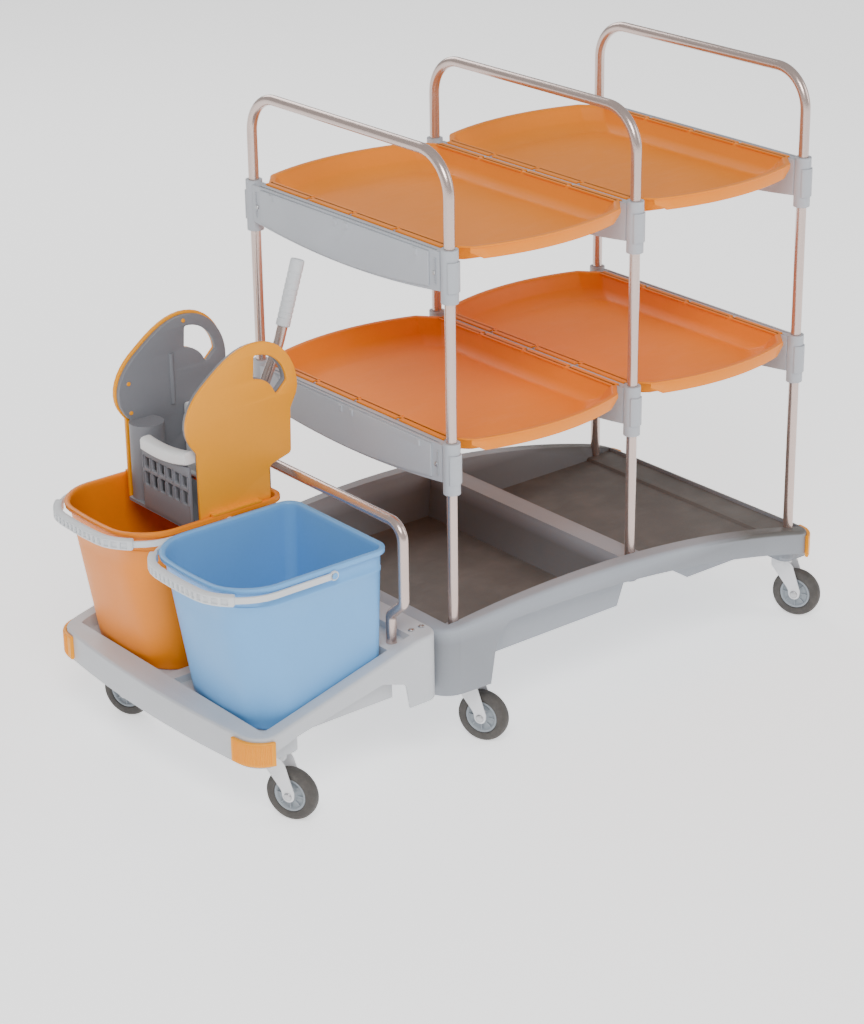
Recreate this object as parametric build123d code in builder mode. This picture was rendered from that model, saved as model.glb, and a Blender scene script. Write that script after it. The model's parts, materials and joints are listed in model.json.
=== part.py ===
"""Housekeeping cart: deck tray on casters with three tube hoops, four lift-out
trays, and a bucket platform with two buckets and a down-press mop wringer.

Frame: +X runs along the cart from the bucket end to the free end, +Z is up, the
origin is on the floor under the middle of the cart. Millimetres.
"""
import os
from math import cos, radians, sin, sqrt

from build123d import *

os.makedirs("parts", exist_ok=True)

# ---------------------------------------------------------------- driving sizes
hoop_pitch = 440.0          # distance between neighbouring hoops along X
hoop_width = 580.0          # distance between the two legs of a hoop
first_hoop_x = -214.5       # bucket-end hoop
tube_od = 20.0
tube_wall = 1.5
hoop_top_z = 1145.0         # centreline of the hoops' top bars
hoop_bend = 75.0            # centreline radius of the hoops' corners
upper_level_z = 980.0       # top of the upper clamp collars
level_spacing = 360.0       # upper to lower collars
collar_height = 98.0
collar_od = 32.0

wheel_d = 100.0
tyre_width = 25.0
caster_trail = 34.0
caster_heading = -66.0      # direction of trail, degrees from +X

deck_margin = 42.0          # deck's half width beyond the hoops' legs, at mid length
deck_bow = 13.0             # how far the sides bow out
deck_wall = 5.0
rim_width = 28.0
rim_crest_z = 286.0
rim_radius = 2374.0         # radius of the arched rim line, seen from the side
deep_floor_z = 176.0
shallow_floor_z = 181.0

platform_margin = 35.0      # platform's half width beyond the hoops' legs
platform_bow = 22.0
platform_front_z = 190.0    # front lip
platform_rear_z = 277.0     # block that stands against the deck tray

bucket_length = 343.0
bucket_width = 298.0
bucket_height = 294.0
bucket_wall = 3.0
bucket_gap = 16.0           # between the two buckets' rims
wringer_width = 242.0       # over the two outer covers

tray_depth = 42.0
tray_wall = 2.5

run_gap = 0.4               # between faces that move past each other
pin_gap = 0.06              # radial clearance of a turning pin
seat_gap = 0.3              # between seated parts of different bodies
socket_gap = 0.1            # radial clearance of a tube in its socket

tube_r = tube_od / 2
half_hoop = hoop_width / 2
deck_half_width = half_hoop + deck_margin
platform_half_width = half_hoop + platform_margin
caster_height = wheel_d + 32.0      # floor to the casters' seat on the trays
hoop_x = [first_hoop_x + hoop_pitch * i for i in range(3)]
hoops = dict(zip(("left", "middle", "right"), hoop_x))
levels = {"upper": upper_level_z, "lower": upper_level_z - level_spacing}
bays = {"left": hoop_x[0], "right": hoop_x[1]}
sides = (-1, 1)
upward = (Align.CENTER, Align.CENTER, Align.MIN)

# ---------------------------------------------------------------- deck tray
deck_x0 = hoop_x[0] - 51.0
deck_x1 = hoop_x[2] + 52.0
arch_x = hoop_x[0] + 265.0
deck_corner = 48.0
deck_thickness = 9.0
tub_wall = 4.0
tub_half = deck_half_width - deck_bow - 17.0   # half width of the wells at the rim
tub_draft = 17.0                               # how much they narrow to the floor
ridge_z = rim_crest_z - 18.0
ridge_x0 = hoop_x[1] - 14.0
ridge_x1 = hoop_x[1] + 32.0
ledge_x = hoop_x[2] - 28.0
ledge_z = shallow_floor_z + 6.0
band_crest_z = rim_crest_z - 36.0
band_radius = 2500.0
band_x = arch_x - 65.0
leg_foot_x = deck_x0 + 112.0
leg_top_x = deck_x0 + 156.0
caster_y = 258.0
deck_casters = {"deck_left": hoop_x[0] + 58.0, "deck_right": hoop_x[2] + 22.0}
socket_depth = 38.0
hoop_foot_z = {"left": ridge_z - 8.0, "middle": ridge_z, "right": ledge_z}
stem_r = 8.0
stem_length = 24.0
coupling_z = 236.0              # bolts that join the platform to the deck tray
coupling_y = 150.0
coupling_r = 4.0


def arch_z(x, drop=0.0):
    """Height of the arched deck rim at x, less a drop."""
    return rim_crest_z - rim_radius + sqrt(rim_radius**2 - (x - arch_x) ** 2) - drop


def band_z(x):
    """Height of the lower edge of the deck's side band at x."""
    return band_crest_z - band_radius + sqrt(band_radius**2 - (x - band_x) ** 2)


def deck_plan(inset):
    """Plan of the deck tray, drawn in by an inset."""
    y_end = deck_half_width - deck_bow
    x_mid = (deck_x0 + deck_x1) / 2
    with BuildSketch() as plan:
        with BuildLine():
            ThreePointArc((deck_x0, -y_end), (x_mid, -deck_half_width), (deck_x1, -y_end))
            Line((deck_x1, -y_end), (deck_x1, y_end))
            ThreePointArc((deck_x1, y_end), (x_mid, deck_half_width), (deck_x0, y_end))
            Line((deck_x0, y_end), (deck_x0, -y_end))
        make_face()
        fillet(plan.vertices(), deck_corner)
        if inset:
            offset(amount=-inset)
    return plan.sketch


def under_arch(drop):
    """Space below the arched rim line, less a drop."""
    x0, x1, low = deck_x0 - 60.0, deck_x1 + 60.0, caster_height
    with BuildPart() as space:
        with BuildSketch(Plane.XZ):
            with BuildLine():
                top = ThreePointArc(
                    (x0, arch_z(x0, drop)), (arch_x, arch_z(arch_x, drop)), (x1, arch_z(x1, drop))
                )
                Polyline(top @ 1, (x1, low), (x0, low), top @ 0)
            make_face()
        extrude(amount=2 * deck_half_width, both=True)
    return space.part


def wells(grow):
    """The deck's two wells, or, grown by a wall thickness, the tub around them."""
    top = rim_crest_z + 10.0
    low = deep_floor_z - grow
    half = tub_half + grow
    with BuildPart() as space:
        with BuildSketch(Plane.XZ):
            with BuildLine():
                Polyline(
                    (deck_x0 + rim_width - grow, top),
                    (deck_x0 + rim_width + 13.0 - grow, low),
                    (ridge_x0 - 20.0 + grow, low),
                    (ridge_x0 + grow, ridge_z - grow),
                    (ridge_x1 - grow, ridge_z - grow),
                    (ridge_x1 + 130.0 - grow, shallow_floor_z - grow),
                    (ledge_x, shallow_floor_z - grow),
                    (ledge_x + 4.0, ledge_z - grow),
                    (deck_x1 - 12.0 + grow, ledge_z - grow),
                    (deck_x1 - 16.0 + grow, top),
                    close=True,
                )
            make_face()
        extrude(amount=2 * deck_half_width, both=True)
        with BuildSketch(Plane.YZ.offset(deck_x0 - 60.0)):
            with BuildLine():
                Polyline(
                    (-half, top), (-half + tub_draft, low), (half - tub_draft, low), (half, top),
                    close=True,
                )
            make_face()
        extrude(amount=deck_x1 - deck_x0 + 120.0, mode=Mode.INTERSECT)
    return space.part


with BuildPart() as deck_bosses:
    for place, x in hoops.items():
        for side in sides:
            foot = hoop_foot_z[place]
            with BuildSketch(Plane.XY.offset(foot - socket_depth - 8.0)):
                with Locations((x, side * half_hoop)):
                    Circle(tube_r + 6.0)
            extrude(amount=socket_depth + 8.0)
    for x in deck_casters.values():
        for side in sides:
            with BuildSketch(Plane.XY.offset(caster_height)):
                with Locations((x, side * caster_y)):
                    RectangleRounded(74, 84, 20)
            extrude(amount=deep_floor_z - caster_height + 8.0)

with BuildPart() as deck_hollow:
    # the space under the deck, inside the skirt
    with BuildSketch(Plane.XY.offset(caster_height - 10.0)):
        add(deck_plan(deck_wall))
    extrude(amount=rim_crest_z)
    add(under_arch(deck_thickness), mode=Mode.INTERSECT)
    # everything below the side bands, between the corner legs
    with BuildSketch(Plane.XZ):
        with BuildLine():
            knee = (leg_top_x, band_z(leg_top_x))
            middle_x = (leg_top_x + deck_x1) / 2
            end_x = deck_x1 + 30.0
            band = ThreePointArc(knee, (middle_x, band_z(middle_x)), (end_x, band_z(end_x)))
            leg = Line((leg_top_x - 34.0, band_z(leg_top_x) - 56.0), (leg_foot_x, caster_height - 1))
            TangentArc(leg @ 0, knee, tangent=leg % 0 * -1)
            Polyline(leg @ 1, (leg_foot_x, 90.0), (end_x, 90.0), band @ 1)
        make_face()
    extrude(amount=2 * deck_half_width, both=True)
    # the open arch under the end wall, between the left legs
    with BuildSketch(Plane.YZ.offset(deck_x0 - 5.0)):
        with Locations((0, caster_height - 10.0)):
            RectangleRounded(2 * caster_y - 150.0, 120.0, 40.0)
    extrude(amount=deck_wall + 40.0)
    add(wells(tub_wall), mode=Mode.SUBTRACT)
    add(deck_bosses.part, mode=Mode.SUBTRACT)

with BuildPart() as base_tray:
    with BuildSketch(Plane.XY.offset(caster_height)):
        add(deck_plan(0))
    extrude(amount=rim_crest_z)
    add(under_arch(0), mode=Mode.INTERSECT)
    rim_edges = base_tray.faces().sort_by(Axis.Z)[-1].edges()
    fillet(rim_edges, 8.0)
    add(wells(0), mode=Mode.SUBTRACT)
    add(deck_hollow.part, mode=Mode.SUBTRACT)
    # hoop feet stand in the wells' corners
    for place in ("left",):
        for side in sides:
            with BuildSketch(Plane.XY.offset(deep_floor_z - 1.0)):
                with Locations((hoops[place], side * half_hoop)):
                    Circle(tube_r + 6.0)
            extrude(amount=hoop_foot_z[place] - deep_floor_z + 1.0)
    for place, x in hoops.items():
        with BuildSketch(Plane.XY.offset(hoop_foot_z[place])):
            with Locations((x, -half_hoop), (x, half_hoop)):
                Circle(tube_r + socket_gap)
        extrude(amount=-socket_depth, mode=Mode.SUBTRACT)
        with BuildSketch(Plane.XY.offset(hoop_foot_z[place])):
            with Locations((x, -half_hoop), (x, half_hoop)):
                Circle(tube_r + 0.5)
        extrude(amount=120.0, mode=Mode.SUBTRACT)
    with BuildSketch(Plane.YZ.offset(deck_x0 - 1.0)):
        with Locations((-coupling_y, coupling_z), (coupling_y, coupling_z)):
            Circle(coupling_r + socket_gap)
    extrude(amount=deck_wall + 2.0, mode=Mode.SUBTRACT)
    for x in deck_casters.values():
        with BuildSketch(Plane.XY.offset(caster_height)):
            with Locations((x, -caster_y), (x, caster_y)):
                Circle(stem_r)
        extrude(amount=stem_length, mode=Mode.SUBTRACT)
base_tray.part.label = "base_tray"
export_step(base_tray.part, "parts/base_tray.step")

# ---------------------------------------------------------------- bucket platform
end_x = hoop_x[0]                       # sizes of the bucket end are laid out from its hoop
joint_gap = 6.0                         # between the platform and the deck tray
platform_x1 = deck_x0 - joint_gap
platform_x0 = platform_x1 - 413.0       # at the front corners
platform_corner = 52.0
platform_wall = 5.0
platform_floor_z = 172.0
platform_leg_z = 146.0
lip_x = platform_x0 + 30.0              # inner edge of the front lip
channel_x0 = platform_x1 - 103.0
channel_x1 = platform_x1 - 51.0
channel_z = platform_rear_z - 15.0
well_half = platform_half_width - 28.0
separator_half = 13.0
tube_x = (channel_x0 + channel_x1) / 2  # low tube behind the buckets
tube_foot_y = 276.0
platform_caster_x = platform_x0 + 76.0
platform_caster_y = 266.0
rim_foot_x = platform_x0 + 30.0
rim_head_x = channel_x1 + 5.0


def platform_plan(inset):
    """Plan of the bucket platform, drawn in by an inset."""
    half = platform_half_width
    with BuildSketch() as plan:
        with BuildLine():
            front = ThreePointArc((platform_x0, half), (platform_x0 - platform_bow, 0), (platform_x0, -half))
            Polyline(front @ 1, (platform_x1, -half), (platform_x1, half), front @ 0)
        make_face()
        fillet(plan.vertices().group_by(Axis.X)[0], platform_corner)
        fillet(plan.vertices().group_by(Axis.X)[-1], 34.0)
        if inset:
            offset(amount=-inset)
    return plan.sketch


def under_platform_rim(drop):
    """Space below the platform's rising rim line, less a drop."""
    x0, x1 = platform_x0 - 60.0, platform_x1 + 20.0
    front, rear = platform_front_z - drop, platform_rear_z - drop
    with BuildPart() as space:
        with BuildSketch(Plane.XZ) as profile:
            with BuildLine():
                Polyline(
                    (x0, front), (rim_foot_x, front), (rim_head_x, rear), (x1, rear), (x1, 100), (x0, 100),
                    close=True,
                )
            make_face()
            bends = [v for v in profile.vertices() if abs(v.X - rim_foot_x) < 1 or abs(v.X - rim_head_x) < 1]
            fillet(bends, 120.0)
        extrude(amount=2 * platform_half_width, both=True)
    return space.part


def bucket_well(grow):
    """The recess for the buckets and the channel behind them, grown by a wall."""
    top = platform_rear_z + 40.0
    with BuildPart() as space:
        with BuildSketch(Plane.XY.offset(platform_floor_z - grow)) as plan:
            add(platform_plan(rim_width - grow))
            with Locations(((channel_x0 + platform_x0) / 2 + grow / 2 + 15.0, 0)):
                Rectangle(channel_x0 - lip_x + grow + 46.0, 800.0, mode=Mode.INTERSECT)
            with Locations((lip_x - 300.0 - grow, 0)):
                Rectangle(600.0, 800.0, mode=Mode.SUBTRACT)
            with Locations((channel_x0 + 300.0 + grow, 0)):
                Rectangle(600.0, 800.0, mode=Mode.SUBTRACT)
        extrude(amount=top - platform_floor_z)
        with BuildSketch(Plane.XY.offset(channel_z - grow)):
            with Locations(((channel_x0 + channel_x1) / 2, 0)):
                Rectangle(channel_x1 - channel_x0 + 2 * grow, 2 * (well_half + grow))
        extrude(amount=top - channel_z)
    return space.part


with BuildPart() as platform_bosses:
    for side in sides:
        with BuildSketch(Plane.XY.offset(caster_height)):
            with Locations((platform_caster_x, side * platform_caster_y)):
                RectangleRounded(70, 70, 20)
        extrude(amount=platform_floor_z - caster_height + 4.0)
        with BuildSketch(Plane.XY.offset(channel_z - socket_depth - 6.0)):
            with Locations((tube_x, side * tube_foot_y)):
                Circle(tube_r + 6.0)
        extrude(amount=socket_depth + 2.0)

with BuildPart() as platform_hollow:
    with BuildSketch(Plane.XY.offset(caster_height - 10.0)):
        add(platform_plan(platform_wall))
    extrude(amount=platform_rear_z)
    add(under_platform_rim(7.0), mode=Mode.INTERSECT)
    with BuildSketch(Plane.XZ) as under_band:
        x_leg = platform_x1 - 78.0
        with BuildLine():
            Polyline(
                (platform_x0 + 24.0, 90.0),
                (platform_x0 + 30.0, 158.0),
                (platform_x0 + 80.0, 174.0),
                (x_leg - 58.0, 214.0),
                (x_leg - 4.0, 196.0),
                (x_leg + 4.0, platform_leg_z),
                (platform_x1 + 10.0, platform_leg_z),
                (platform_x1 + 10.0, 90.0),
                close=True,
            )
        make_face()
        knees = [v for v in under_band.vertices() if 157.0 < v.Y + v.Z < 215.0]
        fillet(knees, 16.0)
    extrude(amount=2 * platform_half_width, both=True)
    with BuildSketch(Plane.YZ.offset(platform_x1 - platform_wall - 20.0)):
        with Locations((0, platform_leg_z)):
            RectangleRounded(2 * platform_half_width - 200.0, 130.0, 40.0)
    extrude(amount=platform_wall + 30.0)
    add(bucket_well(platform_wall), mode=Mode.SUBTRACT)
    add(platform_bosses.part, mode=Mode.SUBTRACT)

with BuildPart() as platform_tray:
    with BuildSketch(Plane.XY.offset(caster_height)):
        add(platform_plan(0))
    extrude(amount=platform_rear_z)
    add(under_platform_rim(0), mode=Mode.INTERSECT)
    rim_edges = platform_tray.edges().filter_by(lambda e: e.bounding_box().min.Z > platform_front_z - 1)
    fillet(rim_edges.sort_by(Axis.X)[:-1], 6.0)
    add(bucket_well(0), mode=Mode.SUBTRACT)
    add(platform_hollow.part, mode=Mode.SUBTRACT)
    # the low wall between the two buckets
    with BuildSketch(Plane.XY.offset(platform_floor_z - 1.0)):
        with Locations(((lip_x + channel_x0) / 2, 0)):
            Rectangle(channel_x0 - lip_x, 2 * separator_half)
    extrude(amount=15.0)
    with BuildSketch(Plane.XY.offset(channel_z)):
        with Locations((tube_x, -tube_foot_y), (tube_x, tube_foot_y)):
            Circle(tube_r + socket_gap)
    extrude(amount=-socket_depth, mode=Mode.SUBTRACT)
    with BuildSketch(Plane.XY.offset(caster_height)):
        with Locations((platform_caster_x, -platform_caster_y), (platform_caster_x, platform_caster_y)):
            Circle(stem_r)
    extrude(amount=stem_length, mode=Mode.SUBTRACT)
    with BuildSketch(Plane.YZ.offset(platform_x1 - platform_wall - 1.0)):
        with Locations((-coupling_y, coupling_z), (coupling_y, coupling_z)):
            Circle(coupling_r + socket_gap)
    extrude(amount=platform_wall + 2.0, mode=Mode.SUBTRACT)
platform_tray.part.label = "platform_tray"
export_step(platform_tray.part, "parts/platform_tray.step")

# ---------------------------------------------------------------- corner bumpers
bumper_thickness = 8.0
bumper_skin_gap = 0.2


def corner_band(plan, x_inner, x_outer, y_inner, low, high):
    """Two mirrored solids that wrap a plan's corners."""
    with BuildPart() as band:
        with BuildSketch(Plane.XY.offset(low)):
            add(plan(-bumper_thickness))
            add(plan(-bumper_skin_gap), mode=Mode.SUBTRACT)
            span = abs(x_outer - x_inner)
            for side in sides:
                with Locations(((x_inner + x_outer) / 2, 0)):
                    Rectangle(span, 1200.0, mode=Mode.INTERSECT)
            Rectangle(3000.0, 2 * y_inner, mode=Mode.SUBTRACT)
        extrude(amount=high - low)
        outer = band.edges().filter_by(Plane.XY)
        fillet(outer.filter_by(lambda e: e.length > 40), 2.5)
    return band.part


front_bumpers = corner_band(platform_plan, platform_x0 + 34.0, platform_x0 - 60.0,
                            platform_half_width - 62.0, 137.0, 184.0)
rear_bumpers = corner_band(deck_plan, deck_x1 - 26.0, deck_x1 + 60.0,
                           deck_half_width - 62.0, 141.0, 188.0)
with BuildPart() as corner_bumpers:
    add(front_bumpers)
    add(rear_bumpers)
corner_bumpers.part.label = "corner_bumpers"
export_step(corner_bumpers.part, "parts/corner_bumpers.step")

# ---------------------------------------------------------------- bolts
block_screw_x = (channel_x1 + 13.0, channel_x1 + 36.0)
block_screw_y = 285.0
with BuildPart() as coupling_bolts:
    shank = joint_gap + 2 * platform_wall
    for side in sides:
        with BuildSketch(Plane.YZ.offset(platform_x1 - platform_wall)):
            with Locations((side * coupling_y, coupling_z)):
                Circle(coupling_r)
        extrude(amount=shank)
        with BuildSketch(Plane.YZ.offset(platform_x1)):
            with Locations((side * coupling_y, coupling_z)):
                Circle(3 * coupling_r)
        extrude(amount=joint_gap)
        for x, depth in ((platform_x1 - platform_wall, -5.0), (deck_x0 + deck_wall, 6.5)):
            with BuildSketch(Plane.YZ.offset(x)):
                with Locations((side * coupling_y, coupling_z)):
                    RegularPolygon(7.5, 6)
            extrude(amount=depth)
coupling_bolts.part.label = "coupling_bolts"
export_step(coupling_bolts.part, "parts/coupling_bolts.step")

with BuildPart() as screws:
    for x in block_screw_x:
        for side in sides:
            with Locations((x, side * block_screw_y, platform_rear_z)):
                Cylinder(6.0, 3.0, align=upward)
    for top in levels.values():
        for x, out in ((hoop_x[0], -1), (hoop_x[2], 1)):
            for side in sides:
                with BuildSketch(Plane.YZ.offset(x + out * 13.0)):
                    with Locations((side * (half_hoop - 27.0), top - 46.0)):
                        Circle(4.5)
                extrude(amount=out * 2.5)
screws.part.label = "screws"
export_step(screws.part, "parts/screws.step")

# ---------------------------------------------------------------- tubes


def tube_along(points, bend):
    """Bent tube with a hollow bore along a route of straight runs and arcs."""
    start = Plane(points[0], z_dir=Vector(*points[1]) - Vector(*points[0]))
    with BuildPart() as tube:
        with BuildLine():
            route = FilletPolyline(*points, radius=bend)
        with BuildSketch(start):
            Circle(tube_r)
            Circle(tube_r - tube_wall, mode=Mode.SUBTRACT)
        sweep(path=route)
    return tube.part


for place, x in hoops.items():
    foot = hoop_foot_z[place] - socket_depth
    with BuildPart() as hoop:
        add(tube_along([(x, -half_hoop, foot), (x, -half_hoop, hoop_top_z),
                        (x, half_hoop, hoop_top_z), (x, half_hoop, foot)], hoop_bend))
    hoop.part.label = f"hoop_{place}"
    export_step(hoop.part, f"parts/hoop_{place}.step")

low_tube_z = 505.0
low_tube_y = 315.0
low_tube_bend = 34.0
step_top_z = 352.0
step_low_z = 318.0
with BuildPart() as bucket_tube:
    right_side = [(tube_x, tube_foot_y, channel_z - socket_depth), (tube_x, tube_foot_y, step_low_z),
                  (tube_x, low_tube_y, step_top_z), (tube_x, low_tube_y, low_tube_z)]
    left_side = [(x, -y, z) for x, y, z in reversed(right_side)]
    add(tube_along(right_side + left_side, [18.0, 18.0, low_tube_bend, low_tube_bend, 18.0, 18.0]))
bucket_tube.part.label = "bucket_tube"
export_step(bucket_tube.part, "parts/bucket_tube.step")

# ---------------------------------------------------------------- beams and collars
beam_half = 13.0                # half thickness along X
beam_drop = 6.0                 # beam's top below the collar's top
beam_height = 71.0              # at the ends
beam_sag = 18.0                 # how much deeper it is in the middle
beam_skin = 3.0
groove_x0 = 4.5                 # hook grooves, from the beam's middle
groove_x1 = 9.0
groove_depth = 8.0
collar_r = collar_od / 2
beam_end = half_hoop - collar_r + 4.0
panel_thickness = 3.0
panel_half = 250.0
panel_margin = 4.0
clip_y = (-214.0, -16.0, 16.0, 214.0)
cover_thickness = 2.5
cover_height = 56.0
cover_half_width = 14.0


def beam_face(top, drop, height, half):
    """Long face of a beam, along Y: straight top edge, bowed lower edge."""
    low = top - drop - height
    with BuildSketch() as face:
        with BuildLine():
            edge = ThreePointArc((-half, low), (0, low - beam_sag), (half, low))
            Polyline(edge @ 1, (half, top - drop), (-half, top - drop), edge @ 0)
        make_face()
    return face.sketch


for level, top in levels.items():
    seat = top - beam_drop
    for place, x in hoops.items():
        with BuildPart() as beam:
            with BuildSketch(Plane.YZ.offset(x - beam_half)):
                add(beam_face(top, beam_drop, beam_height, beam_end))
            extrude(amount=2 * beam_half)
            with BuildSketch(Plane.XY.offset(top - collar_height)):
                with Locations((x, -half_hoop), (x, half_hoop)):
                    Circle(collar_r)
            extrude(amount=collar_height)
            # hollow underside
            with BuildSketch(Plane.YZ.offset(x - beam_half + beam_skin)):
                add(beam_face(top, beam_drop + groove_depth + beam_skin, beam_height, beam_end - 26.0))
            extrude(amount=2 * (beam_half - beam_skin), mode=Mode.SUBTRACT)
            # two grooves along the top for the trays' hooks
            with BuildSketch(Plane.XY.offset(seat)):
                with Locations((x - (groove_x0 + groove_x1) / 2, 0), (x + (groove_x0 + groove_x1) / 2, 0)):
                    Rectangle(groove_x1 - groove_x0, 2 * (beam_end - 14.0))
            extrude(amount=-groove_depth, mode=Mode.SUBTRACT)
            with BuildSketch(Plane.XY.offset(top - collar_height)):
                with Locations((x, -half_hoop), (x, half_hoop)):
                    Circle(tube_r + socket_gap)
            extrude(amount=collar_height, mode=Mode.SUBTRACT)
        beam.part.label = f"beam_{level}_{place}"
        export_step(beam.part, f"parts/beam_{level}_{place}.step")

    with BuildPart() as panels:
        for x, out in ((hoops["left"] - beam_half, -1), (hoops["right"] + beam_half, 1)):
            with BuildSketch(Plane.YZ.offset(x)):
                add(beam_face(top, beam_drop + panel_margin, beam_height - 2 * panel_margin, panel_half))
            extrude(amount=out * panel_thickness)
            for y in clip_y:
                with BuildSketch(Plane.XY.offset(seat - 18.0)):
                    with Locations((x + out * (panel_thickness + 1.2), y)):
                        Rectangle(2.4, 11.0)
                extrude(amount=12.0)
    panels.part.label = f"beam_panels_{level}"
    export_step(panels.part, f"parts/beam_panels_{level}.step")

    with BuildPart() as covers:
        for x in hoop_x:
            for side in sides:
                with BuildSketch(Plane.XY.offset(top - (collar_height + cover_height) / 2)):
                    with Locations((x, side * half_hoop)):
                        Circle(collar_r + cover_thickness)
                        Circle(collar_r, mode=Mode.SUBTRACT)
                    with Locations((x, side * (half_hoop + collar_r))):
                        Rectangle(2 * cover_half_width, 2 * (collar_r - 6.0), mode=Mode.INTERSECT)
                extrude(amount=cover_height)
    covers.part.label = f"collar_covers_{level}"
    export_step(covers.part, f"parts/collar_covers_{level}.step")

# ---------------------------------------------------------------- lift-out trays
tray_flange = 2.8
tray_hook = 2.0
tray_half_x = hoop_pitch / 2 - 15.5
tray_half_y = half_hoop + 40.0
tray_straight_y = half_hoop - 28.0      # ends of the straight short sides
tray_corner_x = tray_half_x - 32.5
tray_corner_y = half_hoop + 10.0
tray_insets = ((2.5, 8.0), (14.0, 30.0), (30.0, 66.0))   # at the top, at the bend, at the floor
tray_bend = 0.62                        # how far down the walls bend


def tray_outline(x, z, inset_x, inset_y):
    """Plan of a tray at one height: straight ends, cut corners, bowed sides."""
    fx = (tray_half_x - inset_x) / tray_half_x
    fy = (tray_half_y - inset_y) / tray_half_y
    a = (tray_half_x * fx, tray_straight_y * fy)
    b = (tray_corner_x * fx, tray_corner_y * fy)
    peak = (0, tray_half_y * fy)
    with BuildSketch(Plane((x, 0, z))) as outline:
        with BuildLine():
            ThreePointArc((-b[0], -b[1]), (0, -peak[1]), (b[0], -b[1]))
            Polyline((b[0], -b[1]), (a[0], -a[1]), a, b)
            ThreePointArc(b, peak, (-b[0], b[1]))
            Polyline((-b[0], b[1]), (-a[0], a[1]), (-a[0], -a[1]), (-b[0], -b[1]))
        make_face()
        fillet(outline.vertices(), 12.0)
    return outline.sketch


def tray_bowl(x, rim, floor, grow):
    """Tapering two-slope body between the rim and the floor."""
    heights = (rim, rim + tray_bend * (floor - rim), floor)
    with BuildPart() as bowl:
        for z, (inset_x, inset_y) in zip(heights, tray_insets):
            add(tray_outline(x, z, inset_x - grow, inset_y - grow))
        loft(ruled=True)
    return bowl.part


for level, top in levels.items():
    seat = top - beam_drop + seat_gap
    rim = seat + tray_flange
    for bay, x_start in bays.items():
        x = x_start + hoop_pitch / 2
        with BuildPart() as tray:
            add(tray_outline(x, seat, 0, 0))
            extrude(amount=tray_flange)
            for side in sides:
                end = hoop_pitch / 2 - groove_x0 - 1.0
                with BuildSketch(Plane.XY.offset(seat)):
                    with Locations((x + side * (end + tray_half_x - 20.0) / 2, 0)):
                        Rectangle(end - tray_half_x + 20.0, 2 * (beam_end - 18.0))
                extrude(amount=tray_flange)
                with BuildSketch(Plane.XY.offset(seat)):
                    with Locations((x + side * (end - tray_hook / 2), 0)):
                        Rectangle(tray_hook, 2 * (beam_end - 18.0))
                extrude(amount=-groove_depth + 1.0)
            add(tray_bowl(x, rim, rim - tray_depth - tray_wall, 0))
            add(tray_bowl(x, rim, rim - tray_depth, -tray_wall), mode=Mode.SUBTRACT)
        tray.part.label = f"tray_{level}_{bay}"
        export_step(tray.part, f"parts/tray_{level}_{bay}.step")

# ---------------------------------------------------------------- casters
casters = {}
for name, x in deck_casters.items():
    casters[f"{name}_near"] = (x, -caster_y)
    casters[f"{name}_far"] = (x, caster_y)
casters["platform_near"] = (platform_caster_x, -platform_caster_y)
casters["platform_far"] = (platform_caster_x, platform_caster_y)

wheel_r = wheel_d / 2
kingpin_r = 5.0
axle_r = 5.0
head_top = caster_height - 4.0 - run_gap
head_low = caster_height - 20.0
leg_in = tyre_width / 2 + 3.0
leg_out = leg_in + 2.5
hub_r = 0.64 * wheel_r
trail_dir = Vector(cos(radians(caster_heading)), sin(radians(caster_heading)), 0)
axle_dir = Vector(-trail_dir.Y, trail_dir.X, 0)

with BuildPart() as caster_mounts:
    spots = [Location((x, y, 0)) for x, y in casters.values()]
    with Locations(*[Location((x, y, caster_height - 4.0)) for x, y in casters.values()]):
        Cylinder(19.0, 4.0, align=upward)
    with Locations(*[Location((x, y, caster_height)) for x, y in casters.values()]):
        Cylinder(stem_r - socket_gap / 2, stem_length - 1.0, align=upward)
    with Locations(*[Location((x, y, head_low - run_gap)) for x, y in casters.values()]):
        Cylinder(kingpin_r, 16.5 + run_gap, align=upward)
    with Locations(*[Location((x, y, head_low - run_gap - 3.0)) for x, y in casters.values()]):
        Cylinder(kingpin_r + 3.0, 3.0, align=upward)
caster_mounts.part.label = "caster_mounts"
export_step(caster_mounts.part, "parts/caster_mounts.step")

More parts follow.
